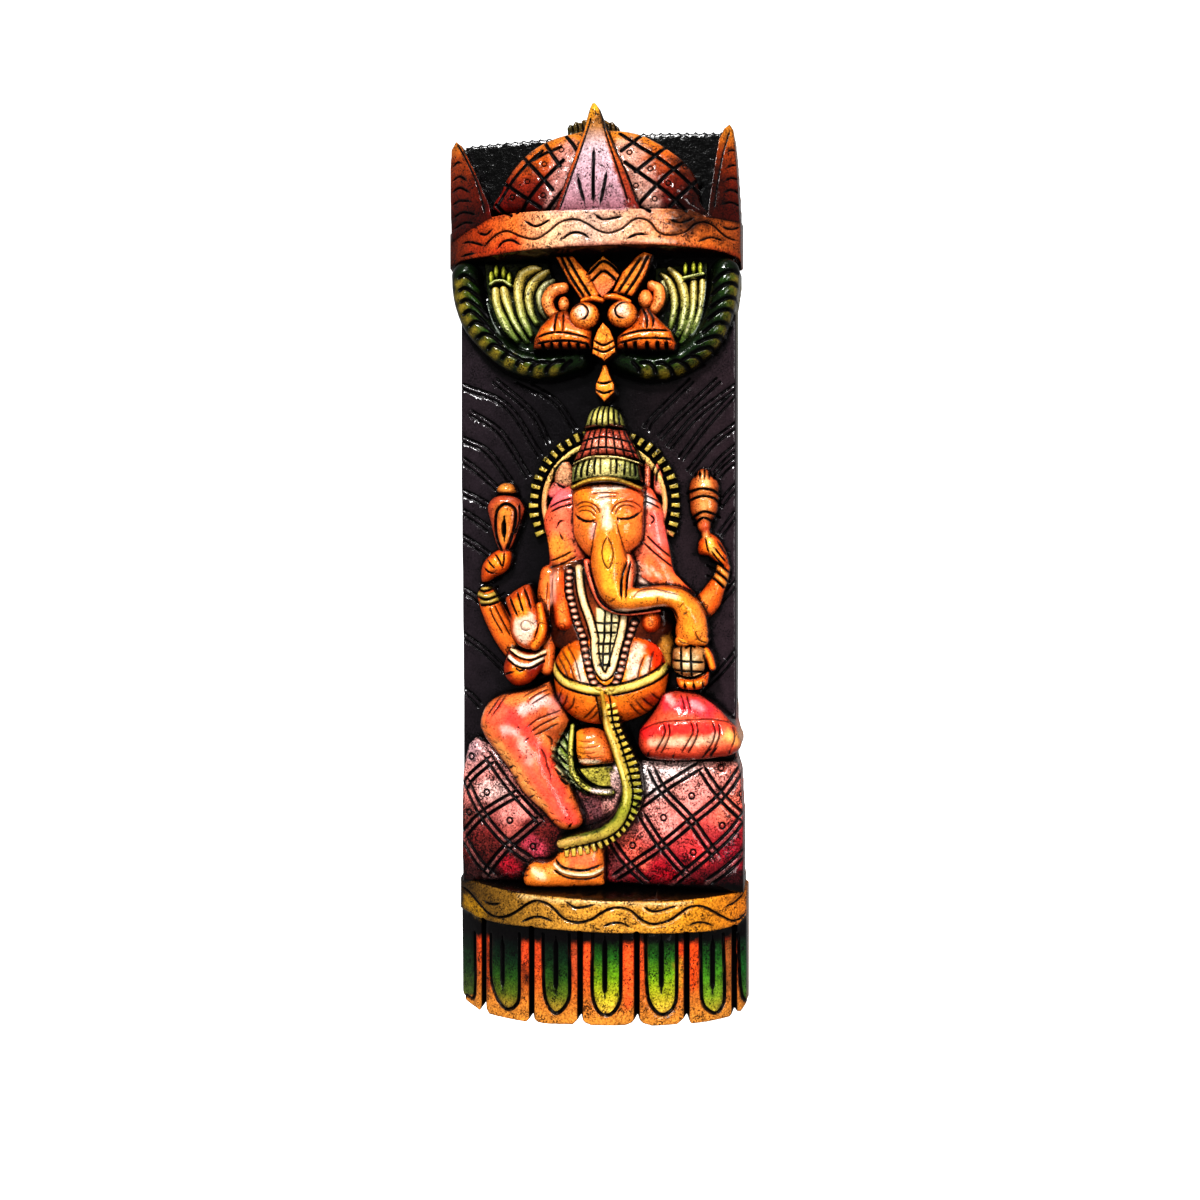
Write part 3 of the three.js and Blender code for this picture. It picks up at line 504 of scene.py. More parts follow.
ROPE = {"half": 10.2, "side": 24, "top": 36}
rope_left = [[-92.5, 199], [-92, 190], [-90, 179.5], [-85, 167], [-77, 156], [-68.5, 147], [-58, 139.5],
             [-45.5, 136], [-31.5, 136], [-13.5, 140.5]]
rope_right = [[86, 198], [85.5, 190], [83.5, 177.5], [80, 165.5], [75, 155], [67, 147], [57.5, 140],
              [45, 135.5], [31.5, 135], [15, 140]]
turns_left = (
    [[-99, 195], [-91.5, 198], [-84.5, 193], [-79, 186.5]],
    [[-99, 186.5], [-91, 189], [-84, 184.5], [-77.5, 177.5]],
    [[-98.5, 178.5], [-90, 181], [-82.5, 176], [-77, 169.5]],
    [[-96.5, 170], [-88, 173.5], [-81, 168.5], [-75.5, 162]],
    [[-92, 161], [-84.5, 166], [-77.5, 163], [-72, 158.5]],
    [[-86.5, 153], [-78.5, 157.5], [-72, 155.5], [-66.5, 150.5]],
    [[-78.5, 145], [-72, 150], [-66, 147.5], [-59.5, 143.5]],
    [[-68.5, 138], [-62.5, 143.5], [-56, 141.5], [-51, 138]],
    [[-57.5, 133], [-53.5, 138.5], [-47, 139], [-41.5, 137]],
    [[-48, 129.5], [-44.5, 135], [-39, 137.5], [-32.5, 137]],
    [[-36.5, 128.5], [-34, 134], [-28.5, 137.5], [-23, 138]], [[-25.5, 130], [-23, 134.5], [-18, 138]],
)
turns_right = (
    [[98.5, 195.5], [91, 197.5], [84.5, 195], [79, 190.5]],
    [[97.5, 186.5], [91, 189], [84.5, 187], [77.5, 181.5]],
    [[97, 178], [90.5, 179.5], [84.5, 177.5], [77, 173]],
    [[95, 168.5], [88.5, 171.5], [82.5, 170], [75, 165]],
    [[92.5, 160], [85.5, 162.5], [79.5, 161.5], [72, 156]],
    [[87.5, 150.5], [81.5, 153.5], [75, 152], [68, 149]],
    [[81.5, 142.5], [75.5, 146], [69.5, 144.5], [63.5, 141.5]],
    [[73, 135], [68, 139.5], [63, 140], [57.5, 137.5]],
    [[63.5, 130], [59.5, 134.5], [54, 137], [49.5, 135.5]],
    [[52, 126.5], [49.5, 132], [44.5, 135.5], [40, 135.5]],
    [[40, 127], [38.5, 132.5], [34.5, 136], [29.5, 136]], [[28.5, 128.5], [27.5, 133], [24, 136.5]],
)
for route, turns in ((rope_left, turns_left), (rope_right, turns_right)):
    bar([[x, y, ROPE["half"], ROPE["side"], ROPE["top"]] for x, y in route],
        ["#182c12", "#14240e", "#0e180a", "#060904"])
    for here, following in zip(turns, turns[1:]):
        tip, heart = ([(here[at][axis] + following[at][axis]) / 2 for axis in (0, 1)] for at in (0, 1))
        root = [(here[2][axis] + following[2][axis]) / 2 for axis in (0, 1)]
        tip = [tip[0] * 0.75 + heart[0] * 0.25, tip[1] * 0.75 + heart[1] * 0.25]
        tint([tip, heart], 3.8, "#8a7a2c", 0.9, above=22)
        tint([heart, root], 3.0, "#2e4a18", 0.8, above=22)
    for (x, y), (next_x, next_y), *rest in turns:
        score([[(x + next_x) / 2, (y + next_y) / 2], [next_x, next_y], *rest], wide=3.4, deep=2.6, blunt=True)

FROND = (["#dcc060", "#ccb868", "#9ca45e", "#50682f"], (0, 204), (0, 150))
DUSKY = (["#b0a878", "#8a8a5c", "#5a5040"], (0, 198), (0, 160))
frond_bed = [
    [[-80, 208.5], [-35, 207.5], [-29.5, 191.5], [-32.5, 167.5], [-40.5, 147], [-54.5, 144.5], [-68.5, 157],
     [-77, 179]],
    [[38.5, 202], [74.5, 205], [74.5, 186], [70.5, 165.5], [61, 148], [50.5, 144], [42, 159.5], [38, 180]],
]
for bed in frond_bed:
    plate(bed, 27, (["#2c3014", "#26341a", "#1a2a14"], (0, 206), (0, 150)))
frond_stems = [
    ([[-71.5, 188.5, 3.1], [-71, 181, 3.4], [-69, 174, 3.4], [-66, 167, 3.8], [-62, 160, 3.4],
      [-56.5, 153.5, 2.4]], FROND),
    ([[-65.5, 189, 3.4], [-64, 181, 3.4], [-61.5, 174, 2.9], [-58.5, 167, 2.7], [-54.5, 160, 2.7],
      [-49.5, 152.5, 2.1]], FROND),
    ([[-41, 202.5, 2.1], [-46, 202.5, 3.4], [-53, 198.5, 4.1], [-55.5, 191, 3.9], [-55.5, 184, 3.6],
      [-54.5, 177, 3.4], [-53, 170.5, 3.3], [-50, 163.5, 3.1], [-46.5, 156.5, 2.4]], FROND),
    ([[-35, 201, 2.1], [-40.5, 197.5, 3.1], [-46, 191.5, 3.8], [-48.5, 184.5, 3.4], [-48, 178, 3.1],
      [-46, 171, 2.9], [-43, 165.5, 2.4]], FROND),
    ([[-31, 194.5, 2.1], [-36.5, 191, 3.4], [-40, 185, 3.8], [-40, 179, 3.4], [-38.5, 173, 3.1],
      [-35.5, 168.5, 2.4]], DUSKY),
    ([[44, 191.5, 2.1], [46, 185.5, 2.4], [45.5, 178.5, 2.4], [43.5, 173, 2.1]], DUSKY),
    ([[43, 197, 1.7], [47.5, 193, 2.6], [50.5, 186.5, 3.1], [52, 179, 3.1], [52, 172.5, 2.9],
      [50.5, 165.5, 2.6], [49, 160.5, 2.1]], FROND),
    ([[48.5, 200.5, 2.2], [54.5, 194.5, 3.3], [57.5, 188, 3.6], [59, 180.5, 3.6], [59, 173.5, 3.4],
      [58, 167, 3.3], [56.5, 160, 2.9], [54, 155, 2.4]], FROND),
    ([[65, 192, 2.9], [65, 183.5, 2.9], [65, 177, 2.7], [64, 170, 2.7], [62.5, 163.5, 2.9], [60, 156.5, 2.7],
      [56.5, 150.5, 2.1]], FROND),
    ([[71, 191.5, 2.6], [70.5, 183.5, 2.6], [70, 177, 2.4], [69, 170, 2.4], [67, 163.5, 2.6],
      [64, 156.5, 2.1]], FROND),
]

# A frond lies lower at the ends where it is thin.
THIN_END = 2.3
for stem, shades in frond_stems:
    bar([[x, y, half, *((25, 33) if half > THIN_END else (24, 31))] for x, y, half in stem], shades)
    # A painted highlight runs down each frond.
    tint([[x, y] for x, y, _ in stem[:-1]], 1.2, "#f8f0c0", 0.5, above=25)
for tips, ring in (
    ([[-74, 197], [-70.5, 201], [-65.5, 200], [-61.5, 196]],
     [[-74.5, 192, 1.7, 28, 34], [-69.5, 194, 1.7, 29, 36], [-64.5, 193.5, 1.7, 29, 36],
      [-60.5, 191, 1.7, 28, 34]]),
    ([[59.5, 200], [65, 200.5], [69.5, 200]],
     [[58.5, 193.5, 1.7, 28, 34], [65, 194.5, 1.7, 29, 36], [71.5, 196, 1.7, 28, 34]]),
):
    for tip in tips:
        dome(*tip, 2.2, 5.4, 27, 34, ["#dcd860", "#a4a83c", "#2c3a18"])
    bar(ring, ["#e6e6a8", "#a8b058", "#4a5a2a"])
    score([[x, y - 2.4] for x, y, *_ in ring], wide=1.6, deep=1.2, blunt=True)
for fillet in (
    [[-77, 179.5], [-75.5, 173.5], [-73, 166.5], [-69, 159.5], [-64, 153], [-58.5, 148.5]],
    [[73.5, 191], [72.5, 180.5], [71, 171], [68, 161], [63.5, 154.5], [58, 146.5]],
):
    bar([[x, y, 0.9, 27, 31] for x, y in fillet], ["#9aa298", "#3a463a"])

MASK = ["#f58f34", "#ee7c28", "#c25a1a", "#4a1a0c"]
horns = (
    [[-28, 207.5], [-15.5, 207.5], [-6, 196.5], [2, 181.5], [0, 177.5], [-11, 178.5], [-19.5, 191.5]],
    [[27.5, 207], [32.5, 209.5], [38.5, 207.5], [33.5, 193.5], [24.5, 179], [11, 182.5], [17.5, 196]],
)
horn_cuts = (
    [[-23.5, 206.5], [-17.5, 194], [-8.5, 180]], [[-19.5, 206.5], [-12.5, 194], [-4, 180]],
    [[30, 204.5], [23, 194], [15.5, 183]], [[35, 206], [28.5, 193], [19.5, 180]],
)
for horn in horns:
    plate(horn, 46, ["#f0923a", "#e88030", "#a84e1a"], arris=3.5)
for cut in horn_cuts:
    score(cut, wide=2.4, deep=2.0, blunt=True)

lozenge = [[4.5, 208], [-4.5, 200], [-7, 195], [-3, 186.5], [4, 179], [11.5, 186.5], [16, 194.5], [14, 200]]
plate(lozenge, 42, (["#f09a34", "#ee8a3a", "#ee8458"], (5, 208), (5, 184)))
score([[-7, 193.5], [-1.5, 199.5], [4.5, 204], [11.5, 200], [16.5, 193.5]], wide=2.4, deep=2.0)
score([[-5, 188.5], [-0.5, 193.5], [4.5, 197.5], [10, 194], [14.5, 189]], wide=2.4, deep=2.0)

SCROLL = ["#f4a468", "#ee8c48", "#c8622c"]
ear_scrolls = (
    ([[-23, 187.5, 4.3, 34, 41], [-30.5, 185.5, 4.9, 34, 41], [-34, 179, 4.9, 34, 41],
      [-32, 172, 4.3, 34, 41], [-28, 168.5, 3.9, 34, 40]], [-23, 176.5, 4.3, 34, 40]),
    ([[37, 188, 3.9, 34, 41], [41.5, 185, 4.5, 34, 41], [42, 177.5, 4.5, 34, 41], [39, 172, 3.9, 34, 41]],
     [32.5, 179, 5.5, 34, 41]),
)
for scroll, (x, y, reach, side, top) in ear_scrolls:
    bar(scroll, SCROLL)
    dome(x, y, reach, reach + 1.4, side, top, SCROLL)

snouts = (
    [[-43.5, 145], [-42.5, 152.5], [-38, 161], [-29.5, 170], [-20, 172], [-13.5, 165], [-2.5, 157],
     [-2.5, 144]],
    [[13.5, 144], [13.5, 152.5], [23, 160.5], [30, 172.5], [35, 172.5], [43, 164], [51, 156], [54.5, 147],
     [53, 142.5]],
)
for snout, core in zip(snouts, ([[-34, 153], [-9, 151.5]], [[20.5, 151.5], [46.5, 151.5]])):
    pillow(snout, core, 40, 49, MASK)
lip_cuts = (
    [[-40.5, 152], [-30.5, 155], [-20, 155], [-3.5, 151]],
    [[-41, 148], [-30.5, 149.5], [-17, 149.5], [-3, 147]], [[14.5, 151.5], [30, 155.5], [50, 155.5]],
    [[15, 147.5], [31.5, 150.5], [52.5, 149.5]], [[-26, 170], [-27.5, 162.5], [-27.5, 155]],
    [[-22, 169.5], [-22, 162.5], [-22, 155]], [[30, 172.5], [34, 165.5], [34.5, 156]],
    [[34, 172], [38.5, 164], [38, 157]],
)
for cut in lip_cuts:
    score(cut, wide=2.0, deep=1.6)
for x, y in (
    [-36, 146], [-30, 145.5], [-24, 145.5], [-18, 145.5], [-12, 145.5], [-5.5, 145], [20, 145],
    [26.5, 145.5], [34.5, 145], [41.5, 145], [47.5, 145],
):
    score([[x, y - 2.5], [x, y + 2.2]], wide=3.4, deep=4, blunt=True)
for (x, y), hook in (
    ([-7.5, 166.5], [[-16, 170.5], [-11, 174], [-6.5, 172], [-4.5, 168], [-6.5, 164], [-10, 163]]),
    ([18, 167], [[21.5, 174.5], [16.5, 173.5], [13.5, 169.5], [15.5, 164.5], [20.5, 163.5]]),
):
    dome(x, y, 10.6, 9.6, 44, 53, ["#ee8a3a", "#f09444", "#ee8a34", "#8a3a18"])
    tint([[x - 1.5, y + 1.5], [x, y + 1.5]], 6, "#f8d4c0", 0.85, above=44)
    score(hook, wide=1.7, deep=1.5)
bar([[-9.5, 177, 2, 40, 46], [-2.5, 178.5, 2.8, 42, 48], [4, 177, 2.2, 40, 46]], MASK)
bar([[7, 179, 2.4, 42, 48], [13.5, 179, 2.8, 42, 48], [22.5, 176, 2, 40, 46]], MASK)

nose = [[5, 162], [1, 156.5], [-1.5, 150], [-2.5, 140.5], [6, 135.5], [14, 141.5], [12.5, 150.5],
        [10, 156.5]]
plate(nose, 50, ["#f3943a", "#ee8430"], arris=3)
score([[-2, 150], [5.5, 146], [13.5, 150]], wide=2.0, deep=1.8)
score([[-3, 145], [6, 141.5], [14.5, 146]], wide=2.0, deep=1.8)
drop_edge = [[4, 134.5], [7, 134.5], [9, 127.5], [12, 121], [12, 115.5], [5, 109], [-1, 115.5], [-1, 121],
             [2, 128]]
plate(drop_edge, 42, ["#f3a03a", "#e88030"], arris=3)
score([[-1, 123], [5, 121.5], [12, 123.5]], wide=2.0, deep=1.8)
score([[-1.5, 118], [5, 115], [12.5, 117.5]], wide=2.0, deep=1.8)


# Halo and headdress
# A pale ring with short teeth round it stands behind the head. The headdress is a ribbed bud over a
# latticed tier, a fluted collar and a rolled brim, painted yellow and red under a black wash.

HALO = {"x": 3.8, "y": 41, "ring": 41.6, "half": 2.2, "teeth": 49.2, "reach": 3.4, "count": 31}


def on_halo(radius, turn):
    """A place on the halo, by its distance from the middle and its angle."""
    return [HALO["x"] + radius * math.cos(turn), HALO["y"] + radius * math.sin(turn)]


halo_turns = np.linspace(-0.42, math.pi + 0.42, HALO["count"])
plate([on_halo(39, turn) for turn in halo_turns[2:-2]] + [[-20, 40], [28, 40]], 21, ["#2a1a1a"])
halo_ring = [[*on_halo(HALO["ring"], turn), HALO["half"], 26, 29] for turn in halo_turns]
bar(halo_ring, (["#e2c87a", "#dfa86a", "#d08a6a"], (5, 84), (5, 15)), per=2)
for turn, spare in zip(halo_turns, np.random.default_rng(5).uniform(-0.8, 0.5, HALO["count"])):
    inner, outer = HALO["teeth"] - HALO["reach"], HALO["teeth"] + HALO["reach"] + spare
    tooth = [on_halo(inner, turn - 0.034), on_halo(outer, turn - 0.042), on_halo(outer, turn + 0.038),
             on_halo(inner, turn + 0.034)]
    plate(tooth, 26, (["#d4b860", "#857830"], on_halo(inner, turn), on_halo(outer, turn)), arris=1.2)
lobes = (
    ([[-29.5, 53.5], [-31, 61.5], [-26.5, 69.5], [-21, 71], [-17.5, 64], [-17.5, 53]],
     ["#dca47c", "#c4805c", "#6a3826"]),
    ([[-34.5, 45.5], [-33, 54.5], [-26.5, 57.5], [-19, 50.5], [-19, 43.5]], ["#d88070", "#b8584a"]),
    ([[30, 51.5], [30, 64], [32, 72.5], [35.5, 72.5], [36, 64], [35.5, 51.5]],
     ["#ee8a6a", "#cf6a48", "#7a2a1c"]),
    ([[38, 49], [37.5, 61], [39.5, 69], [43, 63.5], [45.5, 54], [46, 45.5]],
     ["#f09a88", "#e07058", "#8a3a2a"]),
)
for lobe, shades in lobes:
    plate(curve(lobe, 4, closed=True), 28, shades, arris=3.5)
for crease in (
    [[-32, 57.5], [-29, 65.5], [-23.5, 70.5], [-19, 69.5]], [[-30, 56], [-25, 52.5], [-19, 52.5]],
    [[35.5, 56], [37, 62.5], [39, 69]], [[39, 54], [40, 61], [43, 67]], [[30, 54], [30, 63.5], [32, 72]],
):
    score(crease, wide=2.0, deep=1.4)

bud = curve([[-10, 92], [-7.5, 100], [-3.5, 105.5], [4, 108], [11.5, 106], [16.5, 101], [19.5, 91.5]], 3)
pillow(bud, [[4, 96]], 30, 42, ["#e4d890", "#c8bc6c", "#5c6030"])
for top_x, foot_x in (
    (-4.44, -8.52), (-1.04, -4.44), (2.02, -0.36), (5.08, 3.72), (7.8, 7.8), (10.86, 11.88), (13.24, 15.28),
):
    score([[top_x, 106.5], [(top_x + foot_x) / 2, 102], [foot_x, 94]], wide=1.7, deep=1.6, blunt=True)
bar([[-7.5, 92.5, 1.6, 34, 38], [5, 94.5, 1.8, 36, 40], [17, 92.5, 1.6, 34, 38]], ["#6a3a24", "#2a1812"])
tier = [[-7.5, 90], [5, 92], [19.5, 90], [25, 80.5], [29.5, 69.5], [5, 72], [-16.5, 68], [-11, 80]]
pillow(tier, [[-1.5, 79], [13.5, 79]], 38, 47, ["#e09478", "#cc6850", "#7c2c20"])
for row in (
    [[-9.5, 82.5], [5.5, 85], [23, 81.5]], [[-12.5, 75.5], [5.5, 78], [27, 74.5]],
    [[-16, 69], [5.5, 72], [30.5, 69.5]],
):
    score(row, wide=1.6, deep=1.4, blunt=True)
for post in (
    [[-4, 89.5], [-6.5, 80.5], [-10.5, 70.5]], [[-0.5, 90.5], [-2.5, 81], [-4.5, 71.5]],
    [[3, 91], [2, 81], [1, 71.5]], [[7, 91], [7, 81], [7.5, 71.5]], [[11, 91], [12.5, 81], [13.5, 71.5]],
    [[15, 90], [17.5, 81], [19.5, 70.5]], [[18.5, 89], [22.5, 80], [26, 70.5]],
):
    score(post, wide=1.5, deep=1.2, blunt=True)
collar = [[-16.5, 54], [-16, 65], [-8.5, 69.5], [0.5, 71.5], [10, 71.5], [19, 70], [28.5, 66], [30.5, 55],
          [20, 56.5], [6, 57.5], [-5, 56.5]]
pillow(collar, [[-10, 62.5], [6, 64.5], [25, 62.5]], 45, 51,
       (["#6c743a", "#b8b06c", "#ecdc98", "#e8d890", "#b0ac6a", "#4c5c30"], (-18, 0), (30, 0)))
for rib in (
    [[-11.5, 67.5], [-13, 62], [-14, 56.5]], [[-7.5, 68.5], [-9, 63.5], [-9.5, 58]],
    [[-4, 69.5], [-5, 64], [-5.5, 59]], [[0, 70], [-0.5, 64.5], [-0.5, 60]],
    [[3.5, 70], [3.5, 65], [3.5, 60.5]], [[10.5, 70], [10.5, 65], [10.5, 60.5]],
    [[14, 70], [14.5, 65], [14, 60.5]], [[20, 69], [20, 64.5], [19.5, 59.5]],
    [[23.5, 68.5], [23.5, 63.5], [23.5, 59]], [[26, 67.5], [27, 62.5], [27, 58.5]],
    [[29, 67], [29.5, 61.5], [30, 57]],
):
    score(rib, wide=2.0, deep=1.6, blunt=True)
bar([[-14.5, 67, 1, 45, 50], [-4.5, 71, 1.2, 46, 51], [6, 71.5, 1.4, 46, 51], [18, 70.5, 1.2, 46, 51],
     [29.5, 67, 1, 45, 50]], ["#e8d89a", "#a8803a"])
bar([[-15.5, 51, 1.8, 46, 51], [-6, 55, 2, 49, 53], [6, 56.5, 2.2, 50, 54], [18, 55, 2, 49, 53],
     [30.5, 50, 1.8, 46, 51]], ["#c9a84a", "#8a6424", "#2a1c10"])


# Body
# The seated figure's round belly and chest, in orange skin that reddens at its edges. A beaded cord, a
# plain cord and a squared strip hang from the neck, and a belt with a knot goes round the belly.


def lift(points, half, rise, shades, above=20, per=6):
    """A raised cord or strap that lies on what is there."""
    route = curve(points, per)
    rows, cols = patch(route, half + 1)
    away, _ = nearest(route, rows, cols)
    turn = np.clip(away / half, 0, 1)
    on = (turn < 1) & (relief[rows, cols] > above)
    relief[rows, cols][on] += rise * np.sqrt(1 - turn[on] ** 2)
    paint[rows, cols][on] = shaded(shades, rows, cols, turn)[on]


belly = curve([[-30.5, -79], [-30.5, -70], [-26, -59], [-16.5, -51.5], [-3, -48.5], [17, -47], [33.5, -50],
               [43.5, -58.5], [48.5, -72], [47.5, -84], [42.5, -94.5], [33.5, -102], [20.5, -107.5],
               [3.5, -110], [-11, -108], [-22, -101.5], [-28.5, -91]], 3, closed=True)
pillow(belly, [[4, -78], [10, -78]], 30, 58, ["#f2942a", "#f08c2c", "#e4741e", "#cc6222"])
# Pale streaks of painted highlight down the belly.
for highlight_streak in (
    [[-3, -57.5], [-4, -69.5], [-1.5, -80]], [[-7.5, -59], [-9.5, -69.5], [-5.5, -80]],
    [[-12, -67], [-9.5, -77.5]], [[26.5, -54.5], [24.5, -65.5], [23.5, -78.5]],
    [[31, -56], [28.5, -66.5], [27, -76.5]], [[36, -64], [33, -73]],
):
    tint(highlight_streak, 2.6, "#f8dcc6", 0.75, above=30)
for line, reach, shade, strength in (
    ([[38.5, -54.5], [42.5, -62.5], [44, -70.5]], 7, "#e8381c", 0.85),
    ([[-19, -61], [-23, -69.5]], 6, "#f08a1c", 0.7), ([[36, -90.5], [42.5, -94]], 7, "#8a2014", 0.8),
    ([[-24, -91], [-19, -99]], 6, "#a8380f", 0.7),
):
    tint(line, reach, shade, strength, above=30)
for crease in (
    [[-27.5, -61.5], [-21.5, -69.5], [-16.5, -79.5]], [[-24.5, -58.5], [-17.5, -67], [-12.5, -80.5]],
    [[-20.5, -55], [-13.5, -64.5], [-9, -79]], [[33, -61.5], [30, -69.5], [28.5, -78.5]],
    [[39, -57.5], [37, -66.5], [36, -76]], [[44.5, -60.5], [44, -68], [41, -73]],
    [[-18.5, -87], [-20.5, -93.5], [-25, -98.5]], [[-13.5, -88.5], [-15.5, -95.5], [-21.5, -100.5]],
    [[-23, -85.5], [-25.5, -91], [-28.5, -92.5]], [[30.5, -88.5], [36, -94.5], [41, -98.5]],
    [[27, -90.5], [32, -98], [37, -101.5]], [[37, -86], [42, -91], [46.5, -93.5]],
    [[23, -92.5], [27, -99], [31, -103]], [[2, -93], [-3, -99.5], [-9.5, -105]],
    [[4.5, -95], [0, -101.5], [-5, -105.5]],
):
    score(crease, wide=1.7, deep=1.2, ink=0.8)

chest = curve([[-33, -1.5], [-34.5, -24.5], [-33, -52], [-14.5, -65], [2.5, -70.5], [29.5, -61.5],
               [48.5, -51.5], [52.5, -32.5], [45.5, -18], [9, 2.5]], 3, closed=True)
pillow(chest, [[5, -35]], 32, 42, ["#a85830", "#86401e", "#5a2612", "#30120a"])
for breast in (
    [[-26.5, -4.5, 5, 30, 39], [-26, -15, 6, 32, 42], [-24, -27.5, 6.6, 33, 44], [-22.5, -39, 7, 34, 46]],
    [[36.5, -32, 5.5, 33, 43], [36.5, -37, 7.2, 34, 46], [36.5, -40, 6.8, 34, 46]],
):
    bar(breast, ["#f08a40", "#ec7a34", "#d2521e", "#a33917"])
tint([[-30, -5.5], [-30, -24.5]], 4, "#f4b09a", 0.8, above=32)
tint([[-25, -11], [-25, -24.5]], 3.5, "#e0401c", 0.7, above=32)
for x, y in [[-23, -43], [36.5, -40.5]]:
    spiral = [[x + 2.8 * t * math.cos(9 * t), y + 2.8 * t * math.sin(9 * t)] for t in np.linspace(0.1, 1, 9)]
    score(spiral, wide=0.9, deep=0.7, ink=0.6, per=3)

strip = [[0, -30], [15, -30], [15, -56.5], [12.5, -66], [7, -71.5], [2, -66], [0, -57]]
wash(strip, ["#e0cc96", "#e9d8a6"], above=28, soft=1.4, rise=2.2)
for x in (6, 10.5):
    score([[x, -31], [x - 0.4, -50], [x, -70]], wide=1.7, deep=1.4, blunt=True)
for row, y in enumerate((-40, -46.5, -53.5, -60, -67)):
    score([[-1 + 0.3 * row, y], [6, y - 0.3], [14 - 0.5 * row, y]], wide=1.8, deep=1.4, blunt=True)

cord = [[-12.5, -3], [-11, -16.5], [-8.5, -27], [-4, -39.5], [-1, -51.5], [0.5, -61.5], [3, -70], [7, -75],
        [11, -71.5], [14, -61.5], [16, -51.5], [18, -41], [18.5, -32.5]]
lift(cord, 2.5, 2.0, ["#f4deb4", "#e8ca9a", "#c9a070"], above=25)
pair(cord, 5.8, wide=1.5, deep=1.2)

bead_line = curve([[-19, -4.5], [-19, -18], [-16.5, -28.5], [-13.5, -39.5], [-9.5, -50], [-6, -61.5],
                   [-3, -71], [0, -79], [7, -83.5], [13.5, -81], [17, -73], [19, -63.5], [20.5, -55.5],
                   [23, -47], [26, -39]], 8)
lift(bead_line[::4], 3.2, -1.4, ["#120a0a"], above=25)
BEAD_PITCH = 4.5
for at in np.arange(1, walked(bead_line)[-1], BEAD_PITCH):
    x, y = place_on(bead_line, at)
    dome(x, y, 2.6, 1.9, height_at(x, y), height_at(x, y) + 3, ["#f0cdb8", "#d49a80", "#8e5a4a"])

belt_left = [[-32, -67], [-28, -73.5], [-21.5, -79], [-12.5, -82], [-2.5, -84], [4, -84.5]]
belt_right = [[10, -84.5], [20.5, -82.5], [30.5, -79.5], [40.5, -75], [49, -68.5]]
for belt in (belt_left, belt_right):
    lift(belt, 2.9, 2.0, ["#ecd480", "#dcbc5c", "#b09440"], above=25)
    pair(belt, 6.8, wide=2.0, deep=1.4)


# Head
# The elephant's face with its long trunk, which swings to the bowl. The ears spread behind it in
# coral pink, and the black wash stays in the lids, the brows and the folds of the trunk.

EAR = ["#f07c5c", "#f07a5a", "#ea6c48", "#bf4f33"]
ear_left = curve([[-16, 54], [-26, 51], [-31.5, 45.5], [-35.5, 37], [-38, 27.5], [-35.5, 15.5], [-34, 2.5],
                  [-34, -10], [-24.5, -8.5], [-12, -1.5], [-4, 5], [-1, 29.5], [-4, 50]], 3, closed=True)
ear_right = curve([[26, 54], [35.5, 52], [40.5, 45], [44, 37.5], [46.5, 22.5], [49.5, 8], [52, -5],
                   [58.5, -13], [67, -22.5], [49.5, -22], [29, -20.5], [16.5, -4.5], [14, 29.5], [16.5, 50]],
                  3, closed=True)
pillow(ear_left, [[-22, 36], [-22, 10]], 28, 36, EAR)
pillow(ear_right, [[36, 36], [38, 0]], 28, 36, EAR)
# The near-white stroke on the right ear is a painted highlight.
for line, reach, shade, strength in (
    ([[-28.5, 43.5], [-24.5, 46]], 9, "#f2727a", 0.8), ([[-28.5, 12.5], [-24, 8]], 11, "#f2963c", 0.9),
    ([[-32, -4.5], [-24.5, -2.5]], 5, "#6a3014", 0.8), ([[31.5, 44.5], [34.5, 41]], 5, "#fdeee8", 0.95),
    ([[40.5, 29.5], [44, 14.5]], 9, "#f26e66", 0.8),
    ([[35.5, -1.5], [44, -8.5], [53.5, -15]], 9, "#ee7a3c", 0.8), ([[27, 1], [29, -10]], 4, "#6a2a1c", 0.4),
):
    tint(line, reach, shade, strength, above=25)
for scrape in (
    [[27.5, 1], [29, -7]], [[32, -0.5], [35, -7]], [[29.5, -11], [36, -16.5]], [[37, -3], [42.5, -10]],
):
    tint(scrape, 1.4, "#fbd8c4", 0.7, above=25)
for cut in (
    [[-33.5, 38], [-26, 42], [-17, 44.5]], [[-32.5, 35], [-25, 38.5], [-16, 40.5]],
    [[-33.5, 1.5], [-26, 4], [-17, 8.5]], [[-33.5, -3], [-25, -0.5], [-14, 5]],
    [[-28, 24], [-26, 28.5], [-22.5, 29]], [[-26, 21.5], [-24.5, 17.5], [-22.5, 15.5]],
    [[29, 47], [36.5, 44.5], [44, 40.5]], [[29, 42.5], [35.5, 41], [43, 37]],
    [[33, 19.5], [40.5, 12], [50.5, 3.5]], [[31, 14.5], [39, 7], [51.5, -3]],
    [[35, 33.5], [38.5, 30], [35.5, 26]],
):
    score(cut, wide=1.5, deep=1.2, ink=0.95)

face = curve([[-16, 50.5], [-16, 39], [-16, 28], [-15, 18], [-10, 9.5], [-3.5, 3], [7.5, -1.5], [18, 2.5],
              [24, 8.5], [29, 13], [31.5, 19], [32, 32.5], [31.5, 49], [20, 54.5], [-3.5, 54.5]], 3,
             closed=True)
pillow(face, [[4, 22], [14, 22]], 40, 55, ["#ee9036", "#ee8834", "#ec8038", "#e8783c"])
TRUNK = ["#f09a34", "#ee9030", "#e8842e", "#d26c2a"]
bar([[-6, 1, 2.8, 42, 49], [-4.4, -6, 3, 42, 50], [-1, -17, 2.8, 42, 50], [4, -26.5, 2.8, 42, 50],
     [12, -31.5, 2.5, 42, 50], [24, -33.5, 2, 42, 49], [43, -31.5, 1.5, 42, 48]],
    ["#f08a6c", "#e8684a", "#c54f35"])
bar([[22, 4.5, 2.6, 42, 50], [23, -3, 4, 42, 52], [22, -12.5, 4.2, 44, 53], [22, -22.5, 3.4, 44, 53]],
    ["#f4a07c", "#ea7a54", "#bf5639"])
